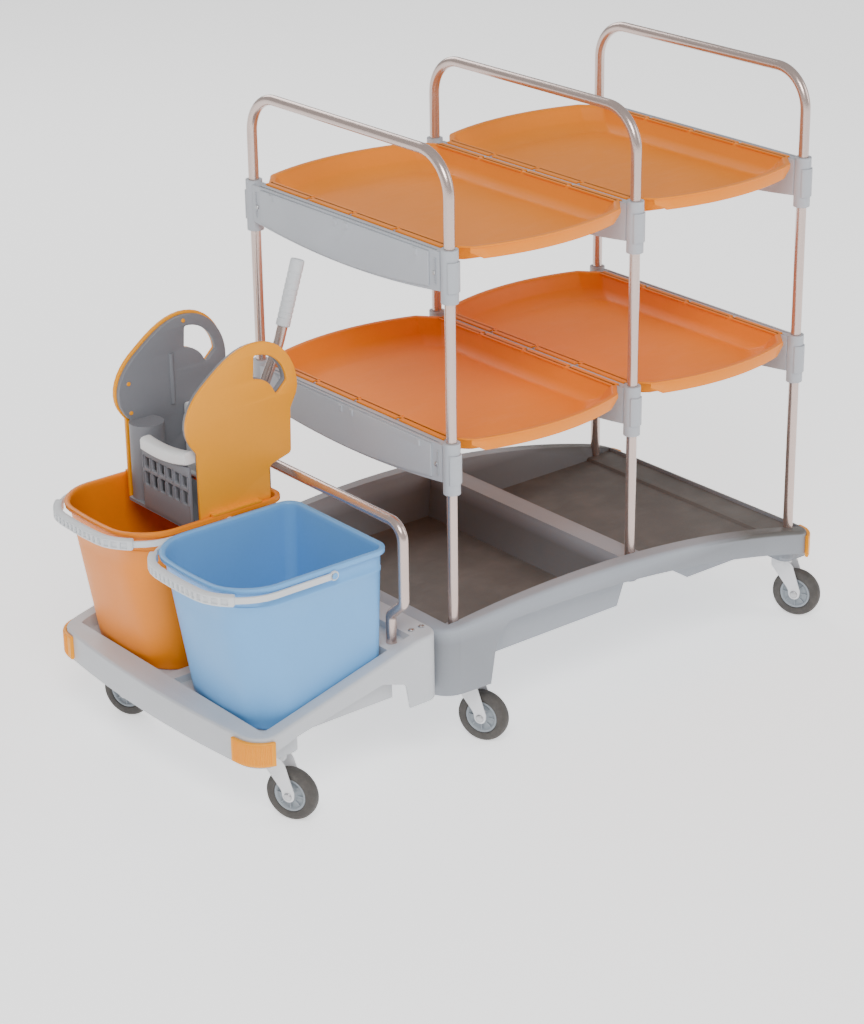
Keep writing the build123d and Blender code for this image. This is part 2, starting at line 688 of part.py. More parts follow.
for name, (x, y) in casters.items():
    pivot = Vector(x, y, 0)
    axle = pivot + trail_dir * caster_trail + Vector(0, 0, wheel_r)
    flat = Plane(pivot, x_dir=trail_dir, z_dir=(0, 0, 1))
    upright = Plane(pivot, x_dir=trail_dir, z_dir=axle_dir * -1)
    along_axle = Plane(axle, x_dir=trail_dir, z_dir=axle_dir)
    with BuildPart() as fork:
        with BuildSketch(flat.offset(head_low)):
            Circle(21.0)
            RectangleRounded(34.0, 2 * leg_out, 6.0)
        extrude(amount=head_top - head_low)
        with BuildSketch(upright.offset(-leg_out)):
            with BuildLine():
                Polyline((-17, head_low + 6), (17, head_low + 6), (caster_trail + 12, wheel_r + 2),
                         (caster_trail, wheel_r - 10), (caster_trail - 11, wheel_r - 3), close=True)
            make_face()
            with Locations((caster_trail, wheel_r)):
                Circle(12.0)
        extrude(amount=2 * leg_out)
        with BuildSketch(upright.offset(-leg_in)):
            with Locations((caster_trail / 2, head_low / 2)):
                Rectangle(160.0, head_low)
        extrude(amount=2 * leg_in, mode=Mode.SUBTRACT)
        with BuildSketch(flat.offset(head_low)):
            Circle(kingpin_r + pin_gap)
        extrude(amount=40.0, mode=Mode.SUBTRACT)
        with BuildSketch(along_axle.offset(-leg_out)):
            Circle(axle_r + socket_gap / 2)
        extrude(amount=2 * leg_out, mode=Mode.SUBTRACT)
    with BuildPart() as bolt:
        with BuildSketch(along_axle.offset(-leg_out - 3.0)):
            Circle(axle_r)
        extrude(amount=2 * leg_out + 6.0)
        for start in (-leg_out - 3.0, leg_out):
            with BuildSketch(along_axle.offset(start)):
                Circle(8.0)
            extrude(amount=3.0)
    with BuildPart() as fork_set:
        add(fork.part)
        add(bolt.part)
    fork_set.part.label = f"fork_{name}"
    export_step(fork_set.part, f"parts/fork_{name}.step")

    with BuildPart() as hub:
        for radius, half in ((hub_r, tyre_width / 2 - 1.5), (11.0, leg_in - run_gap)):
            with BuildSketch(along_axle.offset(-half)):
                Circle(radius)
            extrude(amount=2 * half)
        for start in (-tyre_width / 2, tyre_width / 2 - 6.5):
            with BuildSketch(along_axle.offset(start)):
                Circle(hub_r - 6.0)
                Circle(14.0, mode=Mode.SUBTRACT)
            extrude(amount=6.5, mode=Mode.SUBTRACT)
        with BuildSketch(along_axle.offset(-leg_in)):
            Circle(axle_r + pin_gap)
        extrude(amount=2 * leg_in, mode=Mode.SUBTRACT)
    hub.part.label = f"hub_{name}"
    export_step(hub.part, f"parts/hub_{name}.step")

    with BuildPart() as tyre:
        with BuildSketch(Plane(axle, x_dir=trail_dir, z_dir=(0, 0, 1))) as section:
            with Locations(((wheel_r + hub_r) / 2, 0)):
                Rectangle(wheel_r - hub_r, tyre_width)
            fillet(section.vertices().group_by(Axis(axle, trail_dir))[-1], 5.0)
        revolve(axis=Axis(axle, axle_dir))
    tyre.part.label = f"tyre_{name}"
    export_step(tyre.part, f"parts/tyre_{name}.step")

# ---------------------------------------------------------------- buckets and bails
buckets = {"blue": -(bucket_width + bucket_gap) / 2, "orange": (bucket_width + bucket_gap) / 2}
rim_z = platform_floor_z + seat_gap + bucket_height
rim_flange = 8.0
rim_depth = 10.0
bucket_x1 = channel_x0 + 9.0            # rear of the rims
bucket_x0 = bucket_x1 - bucket_length
front_bow = 14.0
bail_pivot = (hoop_x[0] - 283.0, rim_z - 16.0)
bail_pin_r = 4.0
bail_side_gap = 0.5                     # between a rim and its bail
bail_strip = 5.0
bail_height = 12.0
grip_reach = 125.0
grip_height = 20.0


def bucket_outline(y, x0, x1, half, corner, rear_corner):
    """Plan of a bucket: bowed front towards -X, rounded corners."""
    with BuildSketch() as outline:
        with BuildLine():
            front = ThreePointArc((x0 + front_bow, y + half), (x0, y), (x0 + front_bow, y - half))
            Polyline(front @ 1, (x1, y - half), (x1, y + half), front @ 0)
        make_face()
        fillet(outline.vertices().group_by(Axis.X)[0], corner)
        fillet(outline.vertices().group_by(Axis.X)[-1], rear_corner)
    return outline.sketch


def bucket_body(y, shrink, low):
    """Tapering body of a bucket, drawn in by a wall thickness."""
    half = bucket_width / 2 - rim_flange - shrink
    with BuildPart() as body:
        with BuildSketch(Plane.XY.offset(low)):
            add(bucket_outline(y, bucket_x0 + 60.0 + shrink, bucket_x1 - 17.0 - shrink,
                               half - 6.0, 62.0 - shrink, 22.0 - shrink))
        with BuildSketch(Plane.XY.offset(rim_z)):
            add(bucket_outline(y, bucket_x0 + rim_flange + shrink, bucket_x1 - rim_flange - shrink,
                               half, 74.0 - shrink, 24.0 - shrink))
        loft()
    return body.part


for colour, y in buckets.items():
    half = bucket_width / 2
    with BuildPart() as bucket:
        with BuildSketch(Plane.XY.offset(rim_z - rim_depth)):
            add(bucket_outline(y, bucket_x0, bucket_x1, half, 82.0, 30.0))
        extrude(amount=rim_depth)
        fillet(bucket.faces().sort_by(Axis.Z)[-1].edges(), 2.5)
        with BuildSketch(Plane.XY.offset(rim_z - rim_depth)):
            add(bucket_outline(y, bucket_x0 + 2.5, bucket_x1 - 2.5, half - 2.5, 79.5, 27.5))
        extrude(amount=rim_depth - 3.0, mode=Mode.SUBTRACT)
        add(bucket_body(y, 0, rim_z - bucket_height))
        for side in sides:
            with BuildSketch(Plane.XZ.offset(-(y + side * (half - rim_flange - 2.0)))):
                with Locations(bail_pivot):
                    Circle(11.0)
            extrude(amount=-side * (rim_flange + 2.0))
        add(bucket_body(y, bucket_wall, rim_z - bucket_height + bucket_wall), mode=Mode.SUBTRACT)
        for side in sides:
            inner = y + side * half
            with BuildSketch(Plane.XZ.offset(-inner)):
                with Locations(bail_pivot):
                    Circle(bail_pin_r)
            extrude(amount=-side * (bail_side_gap + bail_strip + 0.5))
            with BuildSketch(Plane.XZ.offset(-(inner + side * (bail_side_gap + bail_strip + 0.5)))):
                with Locations(bail_pivot):
                    Circle(bail_pin_r + 2.0)
            extrude(amount=-side * 1.2)
    bucket.part.label = f"bucket_{colour}"
    export_step(bucket.part, f"parts/bucket_{colour}.step")

    with BuildPart() as bail:
        outer = half + bail_side_gap + bail_strip
        with BuildSketch(Plane.XY.offset(bail_pivot[1] - bail_height / 2)):
            add(bucket_outline(y, bucket_x0 - 19.0, bail_pivot[0], outer, 92.0, 0.1))
            add(bucket_outline(y, bucket_x0 - 19.0 + bail_strip, bail_pivot[0] + 1.0, outer - bail_strip,
                               87.0, 0.1), mode=Mode.SUBTRACT)
        extrude(amount=bail_height)
        for side in sides:
            start = y + side * (outer - bail_strip)
            with BuildSketch(Plane.XZ.offset(-start)):
                with Locations(bail_pivot):
                    Circle(9.0)
            extrude(amount=-side * bail_strip)
            with BuildSketch(Plane.XZ.offset(-start)):
                with Locations(bail_pivot):
                    Circle(bail_pin_r + pin_gap)
            extrude(amount=-side * bail_strip, mode=Mode.SUBTRACT)
    bail.part.label = f"bail_{colour}"
    export_step(bail.part, f"parts/bail_{colour}.step")

    with BuildPart() as grip:
        with BuildSketch(Plane.XY.offset(bail_pivot[1] - grip_height / 2)):
            add(bucket_outline(y, bucket_x0 - 24.5, bail_pivot[0], outer, 92.0, 1.0))
            add(bucket_outline(y, bucket_x0 - 8.5, bail_pivot[0] + 1.0, outer, 80.0, 1.0),
                mode=Mode.SUBTRACT)
            with Locations((bucket_x0, y)):
                Rectangle(120.0, 2 * grip_reach, mode=Mode.INTERSECT)
        extrude(amount=grip_height)
        with BuildSketch(Plane.XY.offset(bail_pivot[1] - bail_height / 2)):
            add(bucket_outline(y, bucket_x0 - 19.0, bail_pivot[0], outer, 92.0, 0.1))
            add(bucket_outline(y, bucket_x0 - 19.0 + bail_strip, bail_pivot[0] + 1.0, outer - bail_strip,
                               87.0, 0.1), mode=Mode.SUBTRACT)
        extrude(amount=bail_height, mode=Mode.SUBTRACT)
    grip.part.label = f"bail_grip_{colour}"
    export_step(grip.part, f"parts/bail_grip_{colour}.step")

# ---------------------------------------------------------------- mop wringer
wring_y0 = buckets["orange"] - bucket_width / 2 + rim_flange + bucket_wall + 1.9
cover_plate = 8.0
liner_plate = 10.0
near_in = wring_y0 + cover_plate + liner_plate          # inner face of the near liner
far_in = wring_y0 + wringer_width - cover_plate - liner_plate
wring_low = rim_z - 34.0
wring_x = hoop_x[0]


def wring_face():
    """Outline of a wringer side plate with its hand hole, seen along Y."""
    with BuildSketch() as face:
        with BuildLine():
            Polyline((-178, wring_low), (-336, wring_low), (-336, 590))
            Spline((-336, 590), (-357, 640), (-308, 722), (-205, 772), (-134, 741), (-109, 668),
                   tangents=((-0.55, 1), (-0.05, -1)))
            Polyline((-109, 668), (-112, 655), (-126, 628), (-128, 541), (-178, 527), (-178, wring_low))
        make_face()
        fillet([v for v in face.vertices() if wring_low + 1 < v.Y < 660 and v.X > -200], 7.0)
        with BuildLine():
            Polyline((-133, 684), (-158, 660))
            ThreePointArc((-158, 660), (-178, 692), (-207, 702))
            ThreePointArc((-207, 702), (-226, 725), (-204, 747))
            ThreePointArc((-204, 747), (-158, 732), (-133, 684))
        make_face(mode=Mode.SUBTRACT)
    return face.sketch


plates = {
    "near_cover": (wring_y0, cover_plate),
    "near_liner": (wring_y0 + cover_plate, liner_plate),
    "far_liner": (far_in, liner_plate),
    "far_cover": (far_in + liner_plate, cover_plate),
}
shaft = (wring_x - 184.0, 560.0)
shaft_r = 10.0
post_r = 26.0
post_y = far_in - post_r
basket_x0 = wring_x - 345.0
jaw_x = wring_x - 214.0
jaw_hinge = (wring_x - 210.0, rim_z - 8.0)
jaw_pin_r = 4.0
for name, (y, thickness) in plates.items():
    with BuildPart() as plate:
        with BuildSketch(Plane.XZ.offset(-y)):
            with Locations((wring_x, 0)):
                add(wring_face())
        extrude(amount=-thickness)
        if name == "near_cover":
            with BuildSketch(Plane.XY.offset(rim_z + seat_gap)):
                with Locations((wring_x - 262.0, (wring_y0 + buckets["orange"] - bucket_width / 2) / 2 + 3.0)):
                    Rectangle(110.0, wring_y0 - buckets["orange"] + bucket_width / 2 + 2.0)
            extrude(amount=4.0)
        if name == "far_cover":
            edge = buckets["orange"] + bucket_width / 2 - 4.0
            with BuildSketch(Plane.XY.offset(rim_z + seat_gap)):
                with Locations((wring_x - 262.0, (y + edge) / 2)):
                    Rectangle(110.0, edge - y)
            extrude(amount=4.0)
        if name == "far_liner":
            with BuildSketch(Plane.XY.offset(wring_low)):
                with Locations((wring_x - 310.0, post_y)):
                    Circle(post_r)
                with Locations((wring_x - 310.0, post_y + post_r / 2)):
                    Rectangle(2 * post_r, post_r)
            extrude(amount=590.0 - wring_low)
            with BuildSketch(Plane.XY.offset(600.0)):
                with Locations((wring_x - 236.0, far_in)):
                    Circle(5.0)
            extrude(amount=100.0)
        if name.endswith("liner"):
            with BuildSketch(Plane.XZ.offset(-y)):
                with Locations(shaft):
                    Circle(shaft_r + pin_gap)
                with Locations(jaw_hinge):
                    Circle(jaw_pin_r + pin_gap)
            extrude(amount=-thickness, mode=Mode.SUBTRACT)
    plate.part.label = name
    export_step(plate.part, f"parts/{name}.step")

# saddle and basket share one arched line
saddle_half = (far_in - near_in) / 2
saddle_mid = (far_in + near_in) / 2


def saddle_arc(low, high):
    """Band between two arched lines, low at mid width and high at both sides."""
    with BuildSketch() as band:
        with BuildLine():
            ends = (saddle_mid - saddle_half, saddle_mid + saddle_half)
            bottom = ThreePointArc((ends[0], low + 15.0), (saddle_mid, low), (ends[1], low + 15.0))
            top = ThreePointArc((ends[0], high + 15.0), (saddle_mid, high), (ends[1], high + 15.0))
            Line(bottom @ 0, top @ 0)
            Line(bottom @ 1, top @ 1)
        make_face()
    return band.sketch


with BuildPart() as saddle:
    with BuildSketch(Plane.YZ.offset(basket_x0 - 7.0)):
        add(saddle_arc(553.0, 577.0))
        with Locations((post_y, 560.0)):
            Rectangle(2 * post_r + 4.0, 100.0, mode=Mode.SUBTRACT)
    extrude(amount=26.0)

saddle.part.label = "saddle"
export_step(saddle.part, "parts/saddle.step")

floor_z = wring_low + 6.0
with BuildPart() as basket:
    with BuildSketch(Plane.YZ.offset(basket_x0)):
        add(saddle_arc(wring_low - 15.0, 553.0))
        with Locations((post_y, 520.0)):
            Rectangle(2 * post_r + 0.2, 300.0, mode=Mode.SUBTRACT)
        with Locations((saddle_mid, wring_low - 20.0)):
            Rectangle(300.0, 40.0, mode=Mode.SUBTRACT)
    extrude(amount=6.0)
    with BuildSketch(Plane.XZ.offset(-near_in)):
        with BuildLine():
            Polyline((basket_x0, floor_z), (basket_x0 + 6.0, floor_z + 2.0), (jaw_x - 10.0, floor_z + 16.0),
                     (jaw_x - 10.0, floor_z + 12.0), (basket_x0, floor_z - 6.0), close=True)
        make_face()
    extrude(amount=-(far_in - near_in))
    with BuildSketch(Plane.XY.offset(wring_low - 5.0)):
        with Locations((wring_x - 310.0, post_y)):
            Circle(post_r + 0.1)
        with Locations((wring_x - 310.0, post_y + post_r / 2)):
            Rectangle(2 * post_r + 0.2, post_r + 1.0)
    extrude(amount=120.0, mode=Mode.SUBTRACT)
    for z, height in ((530.0, 21.0), (498.0, 26.0)):
        with BuildSketch(Plane.YZ.offset(basket_x0)):
            with Locations((near_in + 76.0, z)):
                with GridLocations(24.5, 1.0, 6, 1):
                    RectangleRounded(17.0, height, 2.0)
        extrude(amount=6.0, mode=Mode.SUBTRACT)
basket.part.label = "basket"
export_step(basket.part, "parts/basket.step")

with BuildPart() as press_jaw:
    play = 1.5
    with BuildSketch(Plane.YZ.offset(jaw_x)):
        with Locations((saddle_mid, (jaw_hinge[1] + 600.0) / 2)):
            RectangleRounded(far_in - near_in - 2 * play, 600.0 - jaw_hinge[1], 8.0)
    extrude(amount=8.0)
    with BuildSketch(Plane.YZ.offset(jaw_x)):
        with Locations((saddle_mid, 535.0)):
            with GridLocations(25.0, 34.0, 7, 3):
                RectangleRounded(12.0, 24.0, 5.0)
    extrude(amount=8.0, mode=Mode.SUBTRACT)
    with BuildSketch(Plane.XZ.offset(-near_in - play)):
        with Locations(jaw_hinge):
            Circle(7.0)
    extrude(amount=-(far_in - near_in - 2 * play))
    with BuildSketch(Plane.XZ.offset(-near_in + liner_plate - 0.5)):
        with Locations(jaw_hinge):
            Circle(jaw_pin_r)
    extrude(amount=-(far_in - near_in + 2 * liner_plate - 1.0))
press_jaw.part.label = "press_jaw"
export_step(press_jaw.part, "parts/press_jaw.step")

# ---------------------------------------------------------------- wringer lever
lever_y = near_in + 52.0
cam_r = 30.0
with BuildPart() as lever_shaft:
    with BuildSketch(Plane.XZ.offset(-near_in + liner_plate - 0.5)):
        with Locations(shaft):
            Circle(shaft_r)
    extrude(amount=-(far_in - near_in + 2 * liner_plate - 1.0))
    for y in (near_in + 22.0, far_in - 30.0):
        with BuildSketch(Plane.XZ.offset(-y)) as cam:
            with Locations(shaft):
                Circle(shaft_r + 5.0)
            with Locations((shaft[0] + 6.0, shaft[1] + cam_r - 11.0)):
                Circle(11.0)
            make_hull()
        extrude(amount=-8.0)
    with BuildSketch(Plane.XZ.offset(-lever_y + 13.0)):
        with Locations(shaft):
            Circle(17.0)
    extrude(amount=-26.0)
    rod_dir = Vector(81.0, 0, 160.0).normalized()
    with BuildSketch(Plane(Vector(shaft[0], lever_y, shaft[1]), z_dir=rod_dir)):
        Circle(tube_r + 4.0)
    extrude(amount=44.0)
    with BuildSketch(Plane(Vector(shaft[0], lever_y, shaft[1]) + rod_dir * 20.0, z_dir=rod_dir)):
        Circle(tube_r)
    extrude(amount=30.0, mode=Mode.SUBTRACT)
lever_shaft.part.label = "lever_shaft"
export_step(lever_shaft.part, "parts/lever_shaft.step")

rod_start = Vector(shaft[0], lever_y, shaft[1]) + rod_dir * 20.0
rod_bend = Vector(shaft[0], lever_y, shaft[1]) + rod_dir * 190.0
rod_end = Vector(wring_x - 49.0, lever_y, 878.0)
with BuildPart() as lever_rod:
    add(tube_along([rod_start, rod_bend, rod_end], 120.0))
lever_rod.part.label = "lever_rod"
export_step(lever_rod.part, "parts/lever_rod.step")

grip_dir = (rod_end - rod_bend).normalized()
grip_length = 124.0
with BuildPart() as lever_grip:
    with BuildSketch(Plane(rod_end - grip_dir * grip_length, z_dir=grip_dir)):
        Circle(13.5)
    extrude(amount=grip_length + 3.0)
    fillet(lever_grip.edges().filter_by(GeomType.CIRCLE), 3.0)
    with BuildSketch(Plane(rod_end - grip_dir * grip_length, z_dir=grip_dir)):
        Circle(tube_r)
    extrude(amount=grip_length, mode=Mode.SUBTRACT)
lever_grip.part.label = "lever_grip"
export_step(lever_grip.part, "parts/lever_grip.step")

with BuildPart() as wringer_pins:
    for x, z in ((-205.0, 757.0), (-332.0, 662.0), (-330.0, 604.0)):
        for y, way in ((near_in, -1), (far_in, 1)):
            with BuildSketch(Plane.XZ.offset(-y)):
                with Locations((wring_x + x, z)):
                    Circle(4.0)
            extrude(amount=way * 5.0)
wringer_pins.part.label = "wringer_pins"
export_step(wringer_pins.part, "parts/wringer_pins.step")

wire_r = 0.8
with BuildPart() as return_spring:
    coil = Helix(pitch=2.4, height=14.4, radius=shaft_r + 3.0, center=(shaft[0], near_in + wire_r, shaft[1]),
                 direction=(0, 1, 0))
    with BuildSketch(Plane(coil @ 0, z_dir=coil % 0)):
        Circle(wire_r)
    sweep(path=coil)
return_spring.part.label = "return_spring"
export_step(return_spring.part, "parts/return_spring.step")
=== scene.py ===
"""Housekeeping cart: deck tray, hoops and lift-out trays, bucket platform and mop wringer."""
import json
import math

import bmesh
import bpy
from bpy.props import FloatProperty, FloatVectorProperty, IntProperty, PointerProperty
from mathutils import Matrix, Vector


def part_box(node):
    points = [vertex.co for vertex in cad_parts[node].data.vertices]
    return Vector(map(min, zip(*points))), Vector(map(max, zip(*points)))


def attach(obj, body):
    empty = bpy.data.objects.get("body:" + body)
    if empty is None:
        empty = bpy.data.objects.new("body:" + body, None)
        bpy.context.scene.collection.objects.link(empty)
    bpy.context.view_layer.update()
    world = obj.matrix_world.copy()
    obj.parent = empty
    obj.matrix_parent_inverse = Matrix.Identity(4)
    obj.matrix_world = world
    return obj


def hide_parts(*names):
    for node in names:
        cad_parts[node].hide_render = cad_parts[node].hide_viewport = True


bl_info = {
    "name": "Housekeeping cart",
    "version": (1, 0, 0),
    "blender": (4, 5, 0),
    "location": "3D View > Sidebar > Cart",
    "description": "Builds the looks of a housekeeping cart on its packed frame",
    "category": "Object",
}

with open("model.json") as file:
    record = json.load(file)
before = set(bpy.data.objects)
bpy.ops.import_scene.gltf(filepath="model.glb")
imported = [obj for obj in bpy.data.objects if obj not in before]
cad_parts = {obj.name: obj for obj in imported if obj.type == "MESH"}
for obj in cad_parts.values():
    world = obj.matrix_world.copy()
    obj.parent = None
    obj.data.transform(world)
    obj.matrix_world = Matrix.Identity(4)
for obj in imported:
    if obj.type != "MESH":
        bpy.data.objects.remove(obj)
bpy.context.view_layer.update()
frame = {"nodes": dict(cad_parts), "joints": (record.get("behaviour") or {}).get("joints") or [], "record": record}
HOOP_BOX = {place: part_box(f"hoop_{place}") for place in ("left", "middle", "right")}
HOOP_X = {place: (low.x + high.x) * 500 for place, (low, high) in HOOP_BOX.items()}
END_X = HOOP_X["left"]
CASTERS = [name[5:] for name in frame["nodes"] if name.startswith("fork_")]
LEVELS = {"upper": 980.0, "lower": 620.0}
BUCKETS = {"blue": -157.0, "orange": 157.0}


def at(x, y, z):
    """A point in millimetres from the bucket-end hoop, the middle and the floor, in the row frame."""
    return Vector(((END_X + x) / 1000, y / 1000, z / 1000))


# ---------------------------------------------------------------- sizes and colours


def length(name, value, note):
    """A length setting in metres."""
    return FloatProperty(name=name, description=note, default=value, unit="LENGTH", subtype="DISTANCE")


def colour(name, value, note):
    """A colour setting."""
    return FloatVectorProperty(name=name, description=note, default=value, subtype="COLOR", size=3,
                               min=0.0, max=1.0)


class CartSizes(bpy.types.PropertyGroup):
    """Sizes that only change the looks."""

    edge: length("Moulded edge", 0.0009, "Rounding of moulded edges")
    tube_bend: length("Hoop bend", 0.075, "Centreline radius of the hoops' corners")
    grip_slots: IntProperty(name="Grip slots", description="Windows along a bail grip", default=17)
    bumper_ribs: IntProperty(name="Bumper ribs", description="Ribs around a front bumper", default=26)
    collar_teeth: IntProperty(name="Collar teeth", description="Teeth beside a clamp collar", default=11)
    basket_fins: IntProperty(name="Basket fins", description="Fins along a row of windows", default=7)
    press_rows: IntProperty(name="Press rows", description="Rows of slots in the press plate", default=3)


class CartColours(bpy.types.PropertyGroup):
    """Base colours of the finishes."""

    deck: colour("Deck", (0.33, 0.355, 0.395), "Deck tray")
    platform: colour("Platform", (0.56, 0.575, 0.60), "Bucket platform")
    panel: colour("Panel", (0.46, 0.48, 0.515), "Beam panels")
    collar: colour("Collar", (0.44, 0.46, 0.495), "Beams and clamp collars")
    tube: colour("Tube", (0.60, 0.475, 0.43), "Powder-coated tubes")
    orange: colour("Orange", (0.88, 0.245, 0.0005), "Trays and orange bucket")
    amber: colour("Amber", (0.95, 0.35, 0.0005), "Wringer and bumpers")
    blue: colour("Blue", (0.155, 0.42, 0.80), "Blue bucket")
    white: colour("White", (0.86, 0.86, 0.85), "Saddle, press and cams")
    fork: colour("Fork", (0.80, 0.80, 0.82), "Caster forks")
    hub: colour("Hub", (0.29, 0.32, 0.35), "Wheel hubs")
    tyre: colour("Tyre", (0.062, 0.056, 0.051), "Wheel treads")
    steel: colour("Steel", (0.52, 0.52, 0.53), "Plated steel")
    bail: colour("Bail", (0.66, 0.68, 0.70), "Bails and grips")
    liner: colour("Liner", (0.20, 0.205, 0.225), "Wringer liners and basket")
    # Painted shade: a near-black colour for the floors of the deck's wells, standing in for the shadow under the
    # trays.
    well_shade: colour("Well", (0.105, 0.099, 0.092), "Floors of the deck's wells")
    floor: colour("Floor", (0.95, 0.95, 0.95), "Studio floor")


def sizes():
    """The cart's size settings."""
    return bpy.context.scene.cart_sizes


def tint(name):
    """A colour setting as RGBA."""
    return (*getattr(bpy.context.scene.cart_colours, name), 1.0)


# ---------------------------------------------------------------- finishes


class Value:
    """A shader socket that takes part in Python arithmetic."""

    def __init__(self, finish, socket):
        self.finish = finish
        self.socket = socket

    def maths(self, operation, *values):
        """A Math node on these values."""
        return self.finish.node("ShaderNodeMath", {"operation": operation}, dict(enumerate(values)))

    def __add__(self, other):
        return self.maths("ADD", self, other)

    def __sub__(self, other):
        return self.maths("SUBTRACT", self, other)

    def __rsub__(self, other):
        return self.maths("SUBTRACT", other, self)

    def __mul__(self, other):
        return self.maths("MULTIPLY", self, other)

    __radd__ = __add__
    __rmul__ = __mul__

    def clamped(self, low, high):
        """This value stretched from low..high to 0..1."""
        return self.finish.node("ShaderNodeMapRange", {"clamp": True},
                                {0: self, 1: low, 2: high, 3: 0.0, 4: 1.0})


class Finish:
    """A procedural material under construction."""

    made = {}

    def __init__(self, name):
        self.material = bpy.data.materials.new(name)
        self.material.use_nodes = True
        self.tree = self.material.node_tree
        self.tree.nodes.clear()
        self.where = self.node("ShaderNodeTexCoord", out="Object")

    def node(self, kind, settings=None, inputs=None, out=0):
        """Adds a node: its settings first, then the values or links of its sockets."""
        made = self.tree.nodes.new(kind)
        for key, value in (settings or {}).items():
            if key == "stops":
                for stop, (place, shade) in zip(made.color_ramp.elements, value):
                    stop.position, stop.color = place, shade
            else:
                setattr(made, key, value)
        for key, value in (inputs or {}).items():
            if isinstance(value, Value):
                self.tree.links.new(value.socket, made.inputs[key])
            else:
                made.inputs[key].default_value = value
        return Value(self, made.outputs[out])

    def noise(self, scale, detail=3.0, rough=0.55, place=None):
        """Noise from 0 to 1 over the object's own place; the scale is per metre."""
        return self.node("ShaderNodeTexNoise", {}, {"Vector": place or self.where, "Scale": scale,
                                                    "Detail": detail, "Roughness": rough})

    def stretched(self, x, y, z):
        """The object's place with each axis stretched."""
        return self.node("ShaderNodeMapping", {"vector_type": "POINT"}, {"Vector": self.where,
                                                                         "Scale": (x, y, z)})

    def blend(self, amount, first, second):
        """Mixes two colours."""
        return self.node("ShaderNodeMix", {"data_type": "RGBA"}, {0: amount, 6: first, 7: second}, out=2)

    def relief(self, height, strength, distance=0.001, under=None):
        """Bump from a height."""
        inputs = {"Strength": strength, "Distance": distance, "Height": height}
        if under:
            inputs["Normal"] = under
        return self.node("ShaderNodeBump", {}, inputs)

    def upward(self):
        """How much the surface faces up, from 0 to 1."""
        normal = self.node("ShaderNodeNewGeometry", out="Normal")
        height = self.node("ShaderNodeSeparateXYZ", {}, {0: normal}, out="Z")
        return height.clamped(0.35, 0.95)

    def surface(self, **sockets):
        """Closes the material with one Principled surface."""
        names = {"base": "Base Color", "rough": "Roughness", "metal": "Metallic", "normal": "Normal",
                 "coat": "Coat Weight", "coat_rough": "Coat Roughness", "specular": "Specular IOR Level",
                 "glow": "Emission Color", "glow_power": "Emission Strength"}
        shade = self.node("ShaderNodeBsdfPrincipled", {}, {names[k]: v for k, v in sockets.items()})
        end = self.tree.nodes.new("ShaderNodeOutputMaterial")
        self.tree.links.new(shade.socket, end.inputs["Surface"])
        return self.material


def plastic(name, shade, rough=0.42, grain=0.25, grain_scale=1400.0, dust=0.10, scuffs=0.25,
            coat=0.0, well_shade=None):
    """Moulded plastic: fine grain, cloudy tone, rubbed patches, a little dust on top and painted well shade."""
    if name in Finish.made:
        return Finish.made[name]
    make = Finish(name)
    cloud = make.noise(5.0, 4.0)
    fine = make.noise(160.0, 2.0)
    tone = (cloud - 0.5) * 0.30 + (fine - 0.5) * 0.10 + 1.0
    dark = tuple(c * 0.90 for c in shade[:3]) + (1.0,)
    light = tuple(min(1.0, c * 1.08 + 0.006) for c in shade[:3]) + (1.0,)
    base = make.blend((tone - 0.8) * 2.5, dark, light)
    # Painted shade: low, upward faces are blended towards the well colour, standing in for the shadow under the
    # trays above.
    if well_shade:
        shade_depth = make.node("ShaderNodeSeparateXYZ", {}, {0: make.where}, out="Z").clamped(0.262, 0.236)
        base = make.blend(shade_depth * make.node("ShaderNodeSeparateXYZ", {}, {
            0: make.node("ShaderNodeNewGeometry", out="Normal")}, out="Z").clamped(-0.12, 0.35), base, well_shade)
    dusty = make.upward() * make.noise(14.0, 5.0).clamped(0.42, 0.75) * dust
    grey = sum(shade[:3]) / 3
    base = make.blend(dusty, base, (0.55 + grey * 0.3, 0.53 + grey * 0.3, 0.50 + grey * 0.3, 1.0))
    rubbed = make.noise(9.0, 6.0, 0.7, make.stretched(1.0, 2.4, 1.6)).clamped(0.5, 0.72)
    scratch = make.noise(90.0, 4.0, 0.7, make.stretched(0.10, 1.0, 1.0)).clamped(0.60, 0.78)
    roughness = rubbed * scuffs * -0.3 + dusty * 1.2 + scratch * scuffs * 0.25 + rough
    leather = make.node("ShaderNodeTexVoronoi", {"feature": "SMOOTH_F1"},
                        {"Vector": make.where, "Scale": grain_scale * 0.55, "Smoothness": 0.6},
                        out="Distance")
    height = leather * 0.6 + make.noise(grain_scale, 2.0) * 0.6 + make.noise(38.0, 2.0) * 0.5
    normal = make.relief(height, grain, 0.0006)
    Finish.made[name] = make.surface(base=base, rough=roughness, normal=normal, coat=coat, coat_rough=0.25,
                                     specular=0.35)
    return Finish.made[name]


def coated_tube(name, shade):
    """Powder-coated steel: orange-peel relief, soft gloss and small rubbed marks."""
    if name in Finish.made:
        return Finish.made[name]
    make = Finish(name)
    cloud = make.noise(11.0, 4.0)
    base = make.blend(cloud.clamped(0.3, 0.7), tuple(c * 0.93 for c in shade[:3]) + (1.0,), shade)
    marks = make.noise(60.0, 5.0, 0.7, make.stretched(1.0, 1.0, 0.25)).clamped(0.66, 0.80)
    base = make.blend(marks * 0.35, base, (0.30, 0.27, 0.25, 1.0))
    peel = make.noise(420.0, 2.0) + make.noise(1500.0, 1.0) * 0.3
    Finish.made[name] = make.surface(base=base, rough=marks * 0.25 + cloud * 0.08 + 0.20, metal=0.8,
                                     normal=make.relief(peel, 0.10, 0.0005), coat=0.35, coat_rough=0.12)
    return Finish.made[name]


